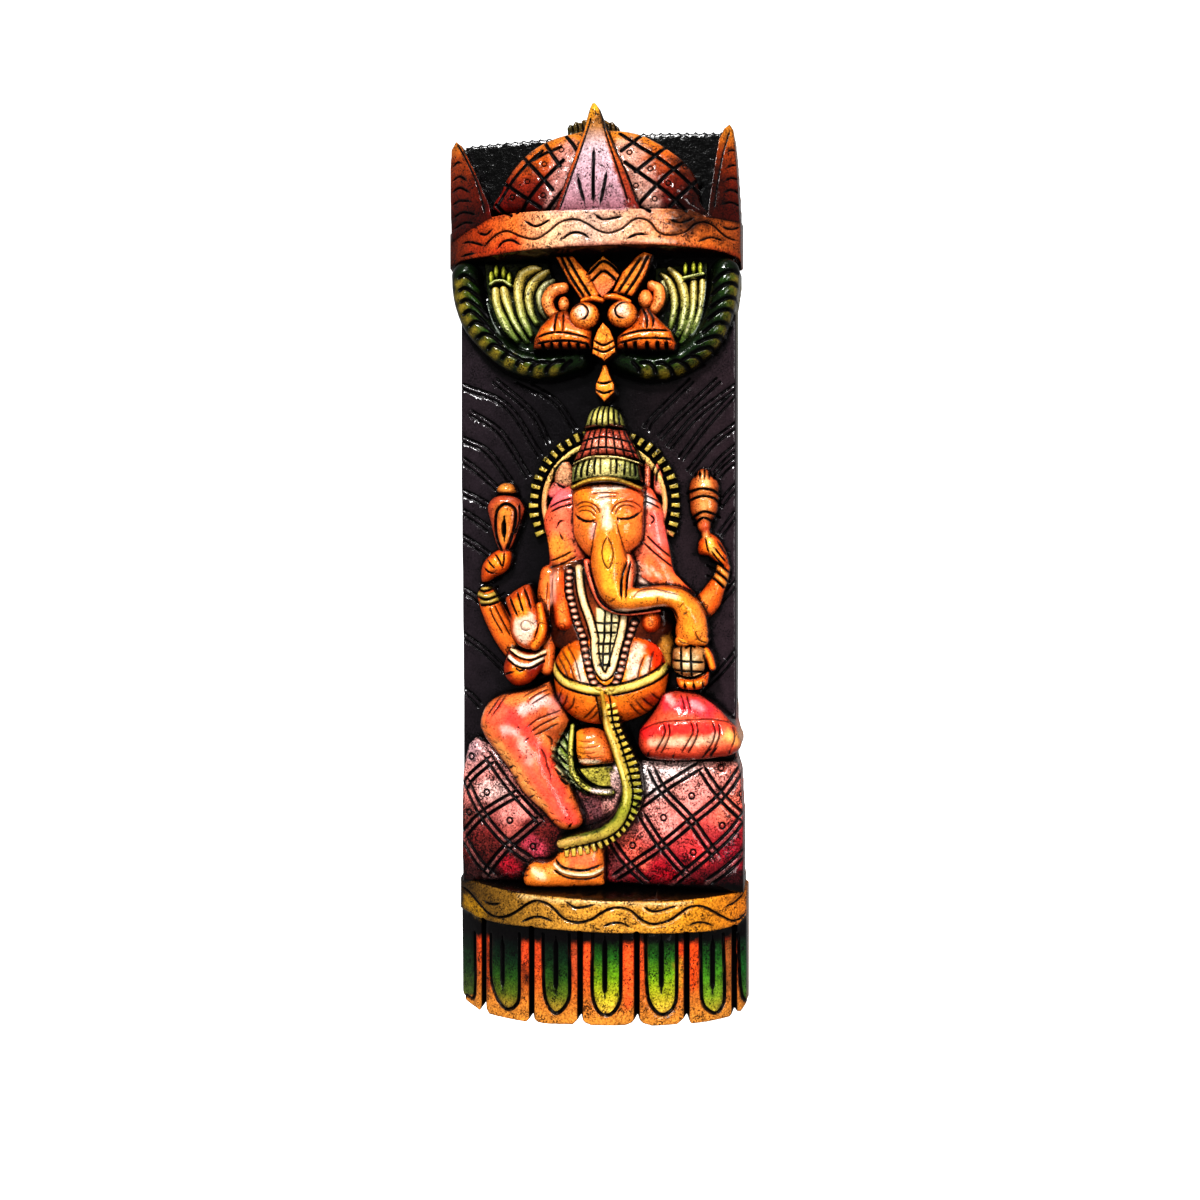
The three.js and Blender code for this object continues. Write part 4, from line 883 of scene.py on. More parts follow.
bar([[9, 37, 5.5, 42, 55], [8.5, 27, 7.4, 44, 57], [8.6, 12.5, 10.8, 46, 60], [9.3, 2, 12.9, 46, 61],
     [10.6, -8, 12.4, 46, 61], [12.8, -18, 10.6, 46, 60.5], [19, -23.5, 8.8, 46, 60],
     [30.5, -23.5, 8, 46, 60], [45.5, -22, 7.4, 44, 59], [57, -25.5, 8.6, 44, 58], [63.5, -36, 10.2, 44, 57],
     [64.5, -45, 11.4, 44, 56]], TRUNK)
bar([[57, -51.5, 4.2, 44, 53], [61, -52, 4, 44, 53.5]], TRUNK)
bar([[67.5, -51, 4, 44, 53.5], [72, -51, 4.2, 44, 53]], TRUNK)
# A painted highlight down the middle of the forehead.
tint([[5, 47], [7, 36], [9, 24]], 4.5, "#f8dcc4", 0.7, above=44)
# The near-white line under the brim is a painted highlight.
for line, reach, shade, strength in (
    ([[22, 46], [29, 46]], 5, "#f0703c", 0.8), ([[-1.5, 50.5], [7.5, 51], [20, 51]], 1.3, "#fdf4e6", 0.9),
    ([[-10, 45], [-7, 39]], 7, "#f28a1c", 0.7), ([[25, 46.5], [27.5, 39]], 7, "#f0683a", 0.7),
    ([[-0.5, 25.5], [-2, 18.5]], 3, "#f0b0a8", 0.8),
):
    tint(line, reach, shade, strength, above=40)
tint([[8, 5.5], [9, -7.5], [11, -17.5]], 6, "#f6ae3a", 0.7, above=44)
# Painted highlights along the top and the underside of the trunk.
tint([[28, -20], [42.5, -19.5], [54.5, -22]], 2.8, "#fbdcb8", 0.75, above=44)
tint([[12, -31.5], [30.5, -30.5], [46.5, -28]], 1.4, "#fbe0c8", 0.9, above=30)
tint([[67.5, -34], [71.5, -47]], 4, "#ee9440", 0.8, above=44)
for cut in (
    [[-3, 46.5], [5.5, 47.5], [15.5, 47]], [[1, 43.5], [7.5, 44.5], [15, 45]],
    [[-14, 38.5], [-8.5, 41], [-3, 40.5], [1.5, 37.5], [4, 33.5]],
    [[-12.5, 36.5], [-7, 38.5], [-2, 37.5], [2, 33]], [[-12, 34], [-8, 35.5], [-2.5, 34.5], [1, 30.5]],
    [[11, 33], [14, 39], [20.5, 41.5], [26.5, 40.5], [31, 37]],
    [[13.5, 31.5], [16, 37], [21.5, 39], [27.5, 37]], [[1.4, 27.2], [-1.7, 12.3], [-3.4, 2.3]],
    [[14.8, 27.2], [18.8, 12.2], [21.6, 2.3]],
    [[9, 18], [12.2, 11.5], [13, 4.5], [10.2, -3.5], [6.2, 2.5], [5.8, 10.5], [9, 18]],
    [[9, -25.5], [12.5, -24.5], [15.5, -22]], [[26, -23], [30.5, -18], [41.5, -17], [57, -21]],
    [[42.5, -22], [42, -26]], [[56.5, -29.5], [59.5, -25.5]], [[59, -34], [62.5, -31.5]],
    [[66.5, -44], [69.5, -50.5], [75.5, -53]], [[54.5, -49.5], [58.5, -52.5], [62.5, -53]],
):
    score(cut, wide=1.2, deep=0.9, ink=0.8)
for lid in (
    [[-14, 33], [-9.5, 29.5], [-4.5, 28], [1.5, 29]], [[-2, 28.5], [1.5, 26.5]],
    [[15, 30.5], [19, 29.5], [24.5, 30.5], [31, 35]], [[15, 31], [16, 27.5]],
):
    score(lid, wide=2.2, deep=1.5, ink=1.0)
for fold in (
    [[-5, 1], [-2.6, -7.6], [0.3, -17.6], [3, -24.3], [9, -30], [18.4, -33], [33.5, -31.5], [45, -29.5],
     [52, -30.5], [55.5, -37.5]],
    [[21.8, 2.3], [18.8, -8], [18.2, -16], [18.5, -24]], [[24.1, 2.3], [21.8, -10], [21.4, -24]],
    [[53, -54.5], [58.5, -56.5], [64, -54.5], [69.5, -56.5], [76, -54.5]],
):
    score(fold, wide=2.0, deep=1.6)


# Arms
# The figure has four arms. The rear pair holds a club and a noose, the front left hand is raised with
# its palm out, and the front right hand holds a bowl of sweets up to the trunk.

FLESH = ["#f39a38", "#ec8426", "#c05218", "#8b3713"]
bar([[-34, -7, 6.5, 28, 36], [-36, -22, 6.5, 28, 36], [-35, -45.5, 6, 28, 36], [-35, -71.5, 6, 28, 36]],
    ["#ee8440", "#dc7034", "#a84c20"])
for shoulder in ([[-34, -12.5], [-35, -25]], [[-30.5, -10], [-31, -22]]):
    score(shoulder, wide=1.2, deep=1.0, ink=0.8)

bar([[-56, -63, 8, 22, 28], [-63, -53, 9, 22, 29], [-70, -40.5, 9, 22, 30], [-75.5, -29.5, 8, 22, 30],
     [-78.5, -22.5, 7, 22, 29]], ["#ec8230", "#e07026", "#b84e1a"])
for stripe in (
    [[-75.5, -29.5], [-72.5, -37.5], [-66, -48.5]], [[-72.5, -28], [-68, -37], [-61, -50]],
    [[-69, -26.5], [-64, -36], [-58.5, -46]],
):
    score(stripe, wide=1.4, deep=1.1, ink=0.9)
fist_left = curve([[-82, -12.5], [-82.5, -6], [-80.5, 1], [-75.5, 6.5], [-69.5, 10], [-63.5, 10.5], [-60, 7],
                   [-61, -1.5], [-66, -7], [-73, -10.5], [-78.5, -14]], 3, closed=True)
pillow(fist_left, [[-73, 0], [-66, 3]], 24, 32, FLESH)
for finger in (
    [[-72, 7], [-68.5, 2.5], [-66.5, -3]], [[-77, 3], [-73.5, -1.5], [-70, -4.5]],
    [[-79.5, -2.5], [-75.5, -6], [-70.5, -7]], [[-65, 8.5], [-65, 2.5], [-67, -4.5]],
):
    score(finger, wide=1.6, deep=1.4)
for bangle in (
    [[-84, -15.5], [-79, -17], [-72.5, -14]], [[-83.5, -21], [-77, -22.5], [-68, -18.5]],
    [[-81.5, -26.5], [-75, -26], [-66, -22.5]],
):
    lift(bangle, 1.8, 1.5, ["#c8a85c", "#947c34", "#73612b"], above=21)
    score(beside(bangle, -2.4), wide=1.8, deep=1.4, blunt=True)
score([[-83.5, -13.5], [-78, -13.5], [-70, -10]], wide=1.8, deep=1.4, blunt=True)

palm = curve([[-62.5, -24.5], [-59, -20.5], [-53.5, -16.5], [-46.5, -13.5], [-44, -18], [-42, -26],
              [-39, -32.5], [-34.5, -45], [-34.5, -52.5], [-40, -57.5], [-47.5, -58.5], [-55, -54.5],
              [-59, -46.5], [-59.5, -35.5]], 3, closed=True)
pillow(palm, [[-52, -28], [-48, -48]], 40, 46, FLESH)
wash([[-55.5, -37.5], [-43.5, -34], [-40.5, -42], [-43.5, -50.5], [-47.5, -55], [-52, -53], [-56.5, -46.5]],
     ["#e4b496", "#e8c4ac"], above=38, soft=1.5)
for finger in (
    [[-63, -26], [-60.5, -31.5], [-57.5, -37.5]], [[-59, -22], [-56.5, -28.5], [-53, -36]],
    [[-54, -18.5], [-51.5, -26], [-49, -34]], [[-49.5, -16], [-46.5, -23.5], [-44, -32]],
):
    score(finger, wide=1.8, deep=1.6)
score(hoop(-47.5, -42, 3.6, 3.4, 5.8), wide=1.1, deep=0.7, ink=0.65)
bar([[-42, -55.5, 4, 40, 47], [-37, -47.5, 4.2, 40, 48], [-37, -37, 3.6, 40, 47], [-38.5, -28.5, 3, 39, 46]],
    FLESH)
score([[-42, -51.5], [-40, -45], [-38, -39.5]], wide=1.4, deep=1.2)
score([[-40, -41.5], [-37, -40], [-33.5, -41]], wide=1.0, deep=0.8, ink=0.7)

elbow = curve([[-59, -57.5], [-62.5, -63], [-65, -71], [-63, -78.5], [-56.5, -84], [-47.5, -82.5],
               [-40, -75.5], [-35.5, -65.5], [-37.5, -57.5], [-48, -60]], 3, closed=True)
pillow(elbow, [[-52, -72]], 34, 42, ["#f09a30", "#e8801f", "#a83c14", "#7e2a0f"])
tint([[-46.5, -73.5], [-41, -68]], 6, "#7a1c10", 0.9, above=34)
for bangle, gold in (
    ([[-59.5, -57.5], [-52.5, -62], [-45, -63.5], [-36, -60]], "#f2cfa4"),
    ([[-60, -63.5], [-53.5, -68], [-46, -69], [-37.5, -64.5]], "#f0e2c8"),
):
    lift(bangle, 1.6, 1.6, [gold, gold, "#9a4a2c"], above=25)
    score(beside(bangle, -2.2), wide=1.8, deep=1.4, blunt=True)
score([[-64.5, -76.5], [-60, -74.5], [-56, -73.5]], wide=1.8, deep=1.2)
score([[-56, -70], [-52.5, -73], [-48, -71.5]], wide=1.6, deep=1.2)

bar([[62.5, -41, 7, 22, 29], [68.5, -33, 8.5, 22, 30], [75.5, -25, 8.5, 22, 31], [79.5, -17.5, 7, 22, 31],
     [83.5, -10, 5.5, 22, 30], [85, -3, 5, 22, 29]], ["#ee7c34", "#e26820", "#b24c1a"])
tint([[72, -27], [76, -20.5]], 4.5, "#f09040", 0.8, above=22)
fist_right = curve([[68, 15], [73, 20], [77.5, 20.5], [83, 16], [87, 8.5], [89, 0.5], [87, -4.5],
                    [81.5, -0.5], [75, 4.5], [68, 6.5]], 3, closed=True)
pillow(fist_right, [[76, 11], [82, 4]], 24, 32, FLESH)
tint([[75.5, 16], [77.5, 9]], 3, "#f8c060", 0.9, above=24)
for finger in (
    [[79, 11], [83, 5.5], [87.5, 0.5]], [[77, 8.5], [81, 3], [86.5, -3]], [[73, 18], [74, 12], [75.5, 6.5]],
    [[81, 15], [84.5, 10], [87.5, 5]],
):
    score(finger, wide=1.5, deep=1.3)
for bangle in ([[75, 1], [81.5, -3], [88.5, -9]], [[75, -6], [81, -9], [87, -14.5]]):
    lift(bangle, 1.9, 1.6, ["#e8a050", "#c8782e", "#965221"], above=21)
    pair(bangle, 5, wide=1.8, deep=1.4, blunt=True)

NOOSE = ["#dc9440", "#cc7834", "#b05430", "#7a3020"]
noose = curve([[-77.5, 38], [-75.5, 43.5], [-70.5, 47], [-64.5, 48], [-58, 46.5], [-53.5, 43], [-51, 37.5],
               [-53.5, 29], [-56, 21], [-59.5, 12], [-64.5, 7], [-67, 7], [-70.5, 12], [-73.5, 21],
               [-75.5, 29.5]], 3, closed=True)
pillow(noose, [[-64.5, 35.5], [-64.5, 16]], 27, 33, NOOSE)
knob = curve([[-71, 49.5], [-70, 53.5], [-66, 56], [-60.5, 55.5], [-57.5, 52], [-57.5, 48.5], [-64.5, 47]],
             3, closed=True)
pillow(knob, [[-64, 50.5]], 25, 32, ["#e0a050", "#c8803a", "#965a29"])
score([[-64.5, 32.5], [-65, 24.5], [-64.5, 15.5]], wide=3.8, deep=6)
score([[-67, 9.5], [-70, 17.5], [-71, 27], [-70, 35.5], [-67, 39.5], [-63.5, 41], [-59.5, 39.5], [-57, 35.5],
       [-57.5, 27], [-60, 17.5], [-63, 10]], wide=2.6, deep=2.2, blunt=True)
score([[-54.5, 41.5], [-54.5, 30], [-58, 19]], wide=1.5, deep=1.3)
score([[-72, 47], [-64.5, 48], [-56, 46.5]], wide=2.4, deep=1.8, blunt=True)

CLUB = ["#ecac70", "#dc8a48", "#a85628", "#703018"]
for bead in (
    [[71.5, 60.5, 4.5, 24, 30], [71.5, 56.5, 9, 24, 31], [72, 52, 10.6, 25, 33]],
    [[72, 46, 10.4, 25, 32], [72, 45, 10.4, 25, 32]], [[72, 39.5, 9.8, 25, 32], [72, 37.5, 9.6, 25, 32]],
    [[72, 32, 6.4, 24, 31], [72, 31.5, 6.2, 24, 31]], [[72, 27, 5, 24, 30], [72, 25.5, 5, 24, 30]],
    [[73, 22, 3.4, 24, 29], [73.5, 17.5, 3.4, 24, 29]],
):
    bar(bead, CLUB)
for x in (-2, -1, 0, 1, 2):
    crest = [[72.5 + 3.4 * x, 66 - 1.4 * abs(x)], [72.5 + 3.1 * x, 57]]
    score(crest, wide=2.0, deep=2.4)
for ring in (
    [[60.5, 48], [69.5, 50.5], [78, 49.5], [83.5, 45.5]], [[61.5, 42.5], [70, 45.5], [78, 44.5], [83.5, 40]],
    [[64, 31], [71, 35], [77.5, 34], [82.5, 31.5]], [[65.5, 26.5], [71.5, 31], [78, 28.5]],
):
    score(ring, wide=2.2, deep=2.0, blunt=True)
tint([[73, 55], [74, 53]], 3.5, "#f4b878", 0.9, above=24)
tint([[72, 27.5], [73, 24.5]], 4, "#c0482c", 0.8, above=24)

bar([[43, -37, 6, 28, 36], [45, -52, 7, 28, 36], [48, -65.5, 6, 28, 36]], ["#c08a3c", "#a06c2c", "#794e21"])
bowl = curve([[51.5, -61], [53, -56], [63.5, -54], [72.5, -56], [74, -64], [72.5, -72], [64.5, -75.5],
              [55.5, -74], [51.5, -69.5]], 3, closed=True)
pillow(bowl, [[62.5, -66]], 46, 54, ["#e0caa0", "#d8bc90", "#b88450", "#865a38"])
for x in (57.5, 64):
    score([[x, -55], [x + 0.4, -75]], wide=1.8, deep=1.5, blunt=True)
for y in (-65, -71.5):
    score([[52, y + 0.8], [62, y], [71.5, y - 0.4]], wide=1.8, deep=1.5, blunt=True)
knuckles = curve([[54.5, -75.5], [63.5, -77], [72, -73.5], [76, -72], [75.5, -80], [70.5, -84], [63.5, -85],
                  [56.5, -83.5], [54, -79.5]], 3, closed=True)
pillow(knuckles, [[58, -80], [71, -80]], 42, 49, FLESH)
lift([[54.5, -75], [63.5, -76], [72, -73]], 1.3, 1.4, ["#f4d8ac", "#e0ae7d"], above=30)
for x in (59.5, 65.5, 71.5):
    score([[x, -78], [x + 1, -86]], wide=2.6, deep=2.0)
bar([[73.5, -57.5, 2.6, 42, 48], [76, -62, 3.2, 42, 49], [78, -69, 3, 42, 48]], FLESH)
score([[72, -59], [73.5, -65.5], [76, -72]], wide=1.5, deep=1.3)


# Legs
# The right thigh lies folded across the seat and the left leg hangs to its foot. Both are coral red
# along the middle and orange at their edges, cut with the folds of a thin cloth.

LEG = ["#ec5c48", "#ea7048", "#ea8446", "#b05c30"]
hanging = curve([[-32, -79.5], [-41, -84], [-51, -86.5], [-60.5, -88], [-67.5, -90], [-74.5, -94.5],
                 [-78.5, -101], [-80.5, -109.5], [-78.5, -115.5], [-75, -121.5], [-69.5, -128], [-65, -134],
                 [-60, -140.5], [-56, -148], [-50.5, -156], [-43.5, -162.5], [-37, -168], [-31.5, -174],
                 [-26.5, -179], [-22, -181], [-15, -180.5], [-9.5, -177], [-9.5, -170], [-14, -159],
                 [-18.5, -149], [-22.5, -142], [-26.5, -135.5], [-28.5, -130], [-26.5, -122.5],
                 [-22.5, -114.5], [-18.5, -106.5], [-24, -97], [-28.5, -89]], 2, closed=True)
pillow(hanging, [[-37.5, -92], [-65, -107], [-45.5, -136], [-24, -169]], 36, 52, LEG)
# The pale pink strokes on the knee and down the shin are painted highlights.
for line, reach, shade, strength in (
    ([[-64.5, -97.5], [-56.5, -104], [-46.5, -113.5], [-37, -126.5], [-30.5, -142], [-23.5, -157.5],
      [-16, -172]], 6.5, "#ee4a44", 0.85),
    ([[-70, -103], [-64.5, -100]], 7, "#f2684c", 0.8),
    ([[-48, -98.5], [-40, -93.5], [-34, -91.5]], 5, "#f6cfc6", 0.8),
    ([[-61, -111], [-53, -114]], 4, "#f4b4ac", 0.8), ([[-49.5, -120], [-44, -132]], 4.5, "#f6b2a4", 0.7),
    ([[-26.5, -91.5], [-29, -99.5]], 5, "#f0a0a0", 0.5),
    ([[-66, -122.5], [-56.5, -135.5], [-46.5, -151], [-36, -163]], 5, "#f2a45e", 0.9),
    ([[-29.5, -112.5], [-27, -119]], 6, "#a04a24", 0.8),
):
    tint(line, reach, shade, strength, above=36)
tint([[-75.5, -92.5], [-80.5, -103.5]], 3, "#f6c8ac", 0.8, above=34)
for fold in (
    [[-65, -89.5], [-69, -96], [-73.5, -103]], [[-61, -88.5], [-65, -95.5], [-70, -103]],
    [[-51, -87], [-43.5, -83.5], [-34, -79]], [[-49, -90], [-41.5, -85.5], [-32.5, -81.5]],
    [[-46, -92.5], [-38.5, -87.5], [-31, -84.5]], [[-43.5, -95], [-36.5, -90.5], [-30, -87]],
    [[-46.5, -110.5], [-39.5, -105], [-31, -101.5], [-23.5, -99]],
    [[-44, -113.5], [-36.5, -108.5], [-25, -103]], [[-42, -116], [-34.5, -112.5], [-25.5, -107.5]],
    [[-48, -120], [-43.5, -116]], [[-37, -124], [-34, -130.5], [-32.5, -138.5]],
    [[-34, -133.5], [-31, -140], [-30, -145.5]], [[-31, -130], [-26.5, -134.5]],
    [[-34, -115], [-30, -119], [-30.5, -124]],
):
    score(fold, wide=1.5, deep=1.1, ink=0.85)
for tick in (
    [[-80.5, -112], [-77, -115]], [[-76, -120.5], [-72.5, -122.5]], [[-60.5, -139.5], [-55, -136]],
    [[-58.5, -147], [-52, -143.5]], [[-47.5, -160], [-41, -155.5]], [[-31, -175.5], [-27, -171.5]],
    [[-19.5, -179], [-15.5, -174]], [[-68.5, -131], [-64.5, -129]],
):
    score(tick, wide=2.0, deep=1.6)

for start_x, start_y, end_x, end_y, count, lean in (
    (-79, -110, -27, -172, 13, 4.5), (-26, -136, -12, -164, 5, -4),
):
    for share in np.linspace(0, 1, count):
        x, y = start_x + (end_x - start_x) * share, start_y + (end_y - start_y) * share
        score([[x, y], [x + lean, y - 1.5]], wide=1.1, deep=0.8, ink=0.7)

folded = curve([[46, -87], [56.5, -85], [66.5, -86], [74, -90.5], [82, -96.5], [88.5, -103], [94, -109],
                [95.5, -114], [97.5, -119.5], [96.5, -124], [92, -128], [85, -130], [70, -132], [53.5, -133],
                [40, -132.5], [32, -130], [28, -123.5], [28, -116], [30, -110], [36.5, -102], [42, -93.5]],
               3, closed=True)
pillow(folded, [[43.5, -114.5], [88.5, -116]], 36, 52, ["#ee8c5c", "#ea7050", "#e25a3c", "#96382a"])
# The pale pink and peach strokes on the top and across the thigh are painted highlights.
for line, reach, shade, strength in (
    ([[48.5, -93.5], [63.5, -95], [75.5, -98.5]], 7, "#e83c48", 0.95),
    ([[33.5, -113], [44.5, -110.5], [63.5, -109.5], [82, -110.5]], 6.5, "#e02c30", 0.9),
    ([[64.5, -93.5], [71.5, -96]], 3, "#f4b4b4", 0.5), ([[48.5, -89], [51.5, -93.5]], 2.5, "#f6d6cc", 0.6),
    ([[38, -119.5], [50, -118.5], [70, -118], [80.5, -115.5]], 4, "#f6c4a4", 0.85),
    ([[35.5, -129], [63.5, -129.5], [88.5, -126.5]], 3.5, "#a03020", 0.7),
    ([[88.5, -114], [95, -118.5]], 5, "#f2aa62", 0.8),
):
    tint(line, reach, shade, strength, above=34)
score([[30, -112], [40, -107], [50, -105], [63.5, -104], [78, -103.5], [90.5, -106]], wide=1.3, deep=1.1,
      ink=0.7)
for fold in (
    [[45.5, -106], [47, -112], [44, -119], [40, -126]],
    [[49, -105.5], [50, -112.5], [47.5, -120], [43.5, -127.5]],
    [[63.5, -104.5], [65.5, -111], [62, -118.5], [57.5, -126]],
    [[67.5, -104.5], [68.5, -112], [66, -119], [61.5, -127]],
    [[77.5, -104.5], [80, -111], [78, -119], [72.5, -127.5]],
    [[82, -105], [83, -112.5], [80.5, -120.5], [76, -128.5]], [[91, -107.5], [93, -115], [90.5, -123]],
    [[57, -88], [59, -93.5], [60, -98.5]], [[60.5, -87.5], [62.5, -93.5], [64, -98.5]],
):
    score(fold, wide=1.5, deep=1.2, ink=0.85)
for tick in (
    [[78, -122], [74, -126], [70.5, -131]], [[82, -121], [78.5, -125.5], [76, -131]],
    [[36, -125], [34, -131]], [[53, -126], [51, -131.5]], [[90.5, -122.5], [88.5, -128]],
):
    score(tick, wide=1.8, deep=1.4)

foot = curve([[-50, -216.5], [-49, -208.5], [-43.5, -202], [-33.5, -201.5], [-27, -197], [-23, -186.5],
              [3, -184.5], [5.5, -196.5], [5.5, -212.5], [3, -218], [-24, -220], [-44.5, -220]], 3,
             closed=True)
pillow(foot, [[-38, -209], [-20, -203], [-4, -200]], 38, 50, ["#f4a456", "#f29440", "#ee8430", "#dc7c34"])
# A painted highlight on the toe.
tint([[-41.5, -207], [-35.5, -210.5]], 3.5, "#fbe4c4", 0.6, above=34)
tint([[-14, -199], [-2.5, -199]], 7, "#e26e4a", 0.9, above=34)
lift([[-27.5, -202], [-22, -206.5], [-14, -208.5], [-3.5, -208.5], [5, -205.5]], 1.3, 1.3,
     ["#fcecd0", "#eec898", "#c98a5c"], above=30)
score([[-28, -198.5], [-22.5, -203.5], [-14.5, -205.5], [-6.5, -205.5], [4.5, -202]], wide=2.2, deep=1.6)
score([[-28.5, -205], [-22.5, -209.5], [-14.5, -212], [-3.5, -211.5], [5, -208.5]], wide=1.8, deep=1.4)
for toe in ([[-49, -208.5], [-44.5, -206]], [[-49, -212], [-45, -210]]):
    score(toe, wide=1.6, deep=1.3)

sole = curve([[-14.5, -114], [-5.5, -111], [3, -112.5], [8.5, -119], [12, -127], [12, -135], [2.5, -136.5],
              [-11, -137.5], [-14.5, -129.5], [-15, -120.5]], 3, closed=True)
pillow(sole, [[-6, -124], [2, -126]], 34, 43, ["#f09258", "#f08848", "#e07030", "#ab5023"])
tint([[-12.5, -115], [-11, -129.5]], 5, "#f09a30", 0.8, above=34)
tint([[-12.5, -134], [1, -134]], 1.8, "#fdecc8", 0.9, above=34)
for line in (
    [[-13, -120], [-7, -120.5], [-1, -120]], [[-13, -124.5], [-5.5, -124.5], [2.5, -122.5]],
    [[-13, -128], [-5.5, -128.5], [1, -127]], [[-13, -132], [-4.5, -132], [5, -130.5]],
):
    score(line, wide=1.0, deep=0.8, ink=0.6)


# Sash
# A long sash falls from the belt, swings out to the right and wraps the left ankle. It is gold with a
# fringe of green blocks, and a leafy loop of it hangs in front of the seat.


def over_belly(y):
    """How much further out the top of the sash lies, where it comes down over the belly."""
    return max(0, 0.45 * (y + 105))


sash_fall = [[5.5, -86, 2.3], [7, -98, 2.5], [8, -108, 3.0], [12.5, -120, 3.4], [16, -131.5, 3.2],
             [19.5, -143, 3.0], [21, -153, 3.4], [19.5, -163, 4.2], [14.5, -173, 4.9], [6, -179.5, 4.9],
             [-3.5, -183, 4.4], [-14, -185.5, 3.9], [-23, -188, 3.4]]
sash_fringe = curve([[10, -91.5], [12.5, -101.5], [13.5, -110], [17.5, -119], [21.5, -127.5], [25, -135],
                     [27, -145], [28, -155], [25, -165], [19, -174.5], [11.5, -182], [3, -187],
                     [-5.5, -190.5], [-15.5, -192.5], [-23, -193]], 8)
bar([[x, y, 4.2, 42, 47 + over_belly(y)] for x, y in sash_fringe[::4]], ["#141c10", "#0e140c"])
FRINGE = {"pitch": 4.6, "half": 2.1, "reach": 4.0}
for at in np.arange(3, walked(sash_fringe)[-1] - 1, FRINGE["pitch"]):
    (x, y), (ahead_x, ahead_y) = place_on(sash_fringe, at), place_on(sash_fringe, at + 1)
    along_x, along_y = FRINGE["half"] * (ahead_x - x), FRINGE["half"] * (ahead_y - y)
    out_x, out_y = FRINGE["reach"] * (y - ahead_y), FRINGE["reach"] * (ahead_x - x)
    block = [[x + a * along_x + b * out_x, y + a * along_y + b * out_y]
             for a, b in ((-1, -1.4), (1, -1.4), (0.9, 1), (-0.5, 1))]
    plate(block, 51 + over_belly(y), (["#dcb858", "#c0a444", "#8c8c34", "#c0a04c"], (0, -90), (0, -195)),
          arris=1.0)
bar([[x, y, half, 48, 53 + over_belly(y)] for x, y, half in sash_fall],
    (["#c89c3c", "#d0a44a", "#c0a648", "#9c9c38", "#b89850"], (0, -90), (0, -190)))
# The dark green along the inner side of the fall is painted shade, and the pale line down it a painted
# highlight.
for line, reach, shade, strength in (
    (beside(curve(sash_fall, 4), -3), 1.6, "#2a4416", 0.85),
    (curve(sash_fall, 4)[4:28], 1.0, "#f0dc94", 0.5), ([[-10, -184], [-27, -187.5]], 2.4, "#c09858", 0.7),
):
    tint(line, reach, shade, strength, above=44)
pair(curve(sash_fall, 4), 8.8, wide=1.6, per=1)

loop_pad = [[-14.5, -140], [-5, -138.5], [10.5, -137.5], [11.5, -153], [0.5, -153], [-7.5, -148.5],
            [-13, -143]]
plate(loop_pad, 33, ["#b4a84c", "#8c8434"])
# A painted highlight on the cloth under the loop, and painted shade in the recess between the leg and the
# sash.
tint([[-4, -160], [4, -168]], 5, "#e4d0cc", 0.7, above=20, below=40)
tint([[-17, -163], [-12, -175]], 5, "#2a1618", 0.7, above=20, below=40)
loop_leaf = curve([[-18, -112], [-25.5, -117.5], [-30.5, -125], [-30.5, -132.5], [-27, -140.5],
                   [-21.5, -148], [-14.5, -155], [-5, -159.5], [-14.5, -140.5]], 3, closed=True)
pillow(loop_leaf, [[-23.5, -125.5], [-18.5, -144]], 29, 36, ["#8a9a3c", "#56702a", "#1c2c14"])
for leaf in (
    [[-25.5, -116], [-22, -120], [-19.5, -125.5]], [[-28.5, -121], [-24, -125.5], [-19.5, -131.5]],
    [[-31, -126], [-25.5, -132], [-19.5, -138]], [[-31, -131], [-25, -138], [-18, -143.5]],
    [[-28.5, -138], [-23, -144], [-16.5, -148.5]], [[-25, -144], [-19.5, -149.5], [-13, -154]],
):
    score(leaf, wide=1.9, deep=1.6)
    tint(beside(leaf, 1.6), 1.0, "#dfe0b0", 0.85, above=28)
bar([[-17, -110.5, 2, 34, 38], [-18, -123.5, 2.3, 34, 39], [-18, -133.5, 2.4, 34, 39],
     [-16.5, -142.5, 2.5, 34, 39], [-11, -149.5, 2.5, 34, 39], [-2.5, -154.5, 2.5, 34, 39],
     [10, -155.5, 2.5, 34, 39]], ["#d8cc70", "#a8a44a", "#3a4a20"])
tint([[-3.5, -154], [9, -154.5]], 2, "#f2d8d4", 0.9, above=30)
score([[-15, -111], [-15, -123], [-15, -133.5], [-12.5, -141.5], [-7, -148], [0.5, -152], [11, -152.5]],
      wide=1.8, deep=2)


# Seat
# The seat is a pair of round cushions, quilted in diamonds between doubled grooves, with a ring punched
# in most of them. They are rose where the light falls and maroon below, with a speckled black wash.

